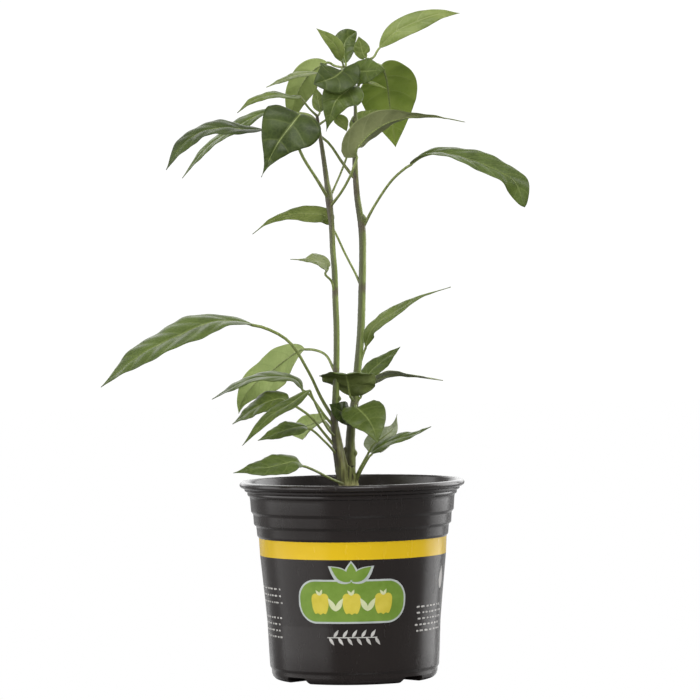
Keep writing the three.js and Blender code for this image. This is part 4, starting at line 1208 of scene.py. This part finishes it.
leaf("high_left_front", "dark", 22, (19, 0, 18, 0),
     [(3, 4, 244), (-2.5, 4, 251.5), (-10.5, 2.5, 262.5), (-22.5, -4, 267.5), (-40.5, -10.5, 267.5)],
     [(-49, -13, 267.5), (-60, -14.5, 268.5), (-71.5, -15.5, 266), (-80.5, -16.5, 259), (-87.5, -17, 248.5)])
leaf("high_left_back", "deep", 15, (34, 0, 22, 0),
     [(-14, -2, 271), (-20, 7.5, 275.5), (-35, 15, 276.5)],
     [(-41, 19, 276.5), (-49, 22, 273), (-59, 26, 267.5), (-68.5, 30, 261), (-75.5, 33, 253.5),
      (-82, 35, 245.5)])
leaf("crown_left", "mid", 11, (22, 0, 18, 0),
     [(-14.3, -2, 274), (-18, -7, 277.5), (-21.5, -13, 282), (-22.5, -14, 283.5)],
     [(-25.5, -18, 282.5), (-31.5, -22, 283.5), (-38, -25, 283), (-45.5, -27, 280.5), (-52.5, -28, 275)])
leaf("crown_left_narrow", "painted_sheen", 9, (20, 0, 16, 0),
     [(0.3, 4, 294), (-6.5, -4, 294.5), (-13.5, -12, 294.5)],
     [(-24.5, -17, 293), (-38.5, -20, 287.5)])
leaf("crown_left_pale", "pale", 15, (-108, 0, -100, 0),
     [(-0.5, 4, 297.5), (-5.5, 12, 299), (-9, 12, 300.5)],
     [(-16, 18, 297), (-21.5, 25, 291), (-25.5, 30, 282.5), (-28, 33, 270)])
leaf("crown_dark_left", "dark", 21, (68, -5, 76, -5),
     [(-0.5, 4, 297), (-2, -6, 296)],
     [(-2, -12, 295), (-6.5, -19, 291.5), (-15.5, -24, 288.5)], rise=0.6)
leaf("crown_dark_right", "deep", 15, (66, 0, 62, 0),
     [(0.9, 4, 292.4), (2.5, -3, 294.8)],
     [(4, -5, 295.5), (10, -9, 295), (19, -13, 295.5)])
leaf("crown_front", "deep", 19, (80, -12, 88, -14),
     [(4.5, 4, 285.5), (4.5, -8, 288)],
     [(0.5, -15, 285.5), (-5.5, -21, 279.5), (-10, -22, 265.5)], broadest=0.32)
leaf("crown_slender", "fresh", 5, (16, 0, 16, 0),
     [(6.3, 4, 289.5), (7.5, 3, 290.2), (7.5, 1, 290.5)],
     [(11, 0.5, 290), (15.5, -0.5, 288.5), (20, -1.5, 286.5)])
leaf("crown_right_pale", "fresh", 29.5, (-98, 0, -92, 0),
     [(11, 4, 299), (17, 10.5, 298.5)],
     [(20, 23, 292), (21.6, 36, 279.5), (24.2, 42.5, 259.5)])
leaf("crown_right_high", "fresh", 11, (70, 0, 58, 0),
     [(12, 4, 301.5), (14, 5.5, 303), (16.5, 6.5, 307)],
     [(24, 9, 314.5), (32.5, 12, 319), (45, 16.5, 323.5), (56.5, 22.5, 324.5)])
leaf("tip_left", "fresh", 7, (75, 0, 75, 0),
     [(-1, 4, 298), (-2, -3, 301)],
     [(-5, -8.5, 308), (-14, -13, 316)])
leaf("tip_back", "deep", 12, (90, 0, 90, 0),
     [(-0.2, 4, 296), (0, 9, 300)],
     [(-1, 13, 306), (0.5, 16, 312), (5.5, 19, 316)], broadest=0.5)
leaf("tip_right", "young", 8, (90, 0, 90, 0),
     [(10.2, 4, 299.5), (10, 6.5, 302.5)],
     [(8.5, 6.8, 304.5), (6.5, 7.5, 313)])
leaf("axil_left", "young", 6.5, (90, 0, 90, 0),
     [(-14.3, -2, 273.6), (-13, 3, 276)],
     [(-13.5, 6, 280.5), (-15, 8.5, 288.5)])
leaf("axil_small", "fresh", 7, (70, 20, 70, 20),
     [(-13.9, -2, 269.5), (-9, -5, 272.5), (-6, -8, 273)],
     [(-2.5, -10, 271), (0, -11, 266)])
leaf("axil_right", "young", 9, (58, 0, 40, 0),
     [(-9, -2, 233), (-7, 4.5, 238), (-3, 12.5, 247), (0.5, 17.5, 256.5), (3, 19, 266.5)],
     [(5.5, 17.5, 271.5), (9.5, 16, 274.5), (15, 15, 277.5)])
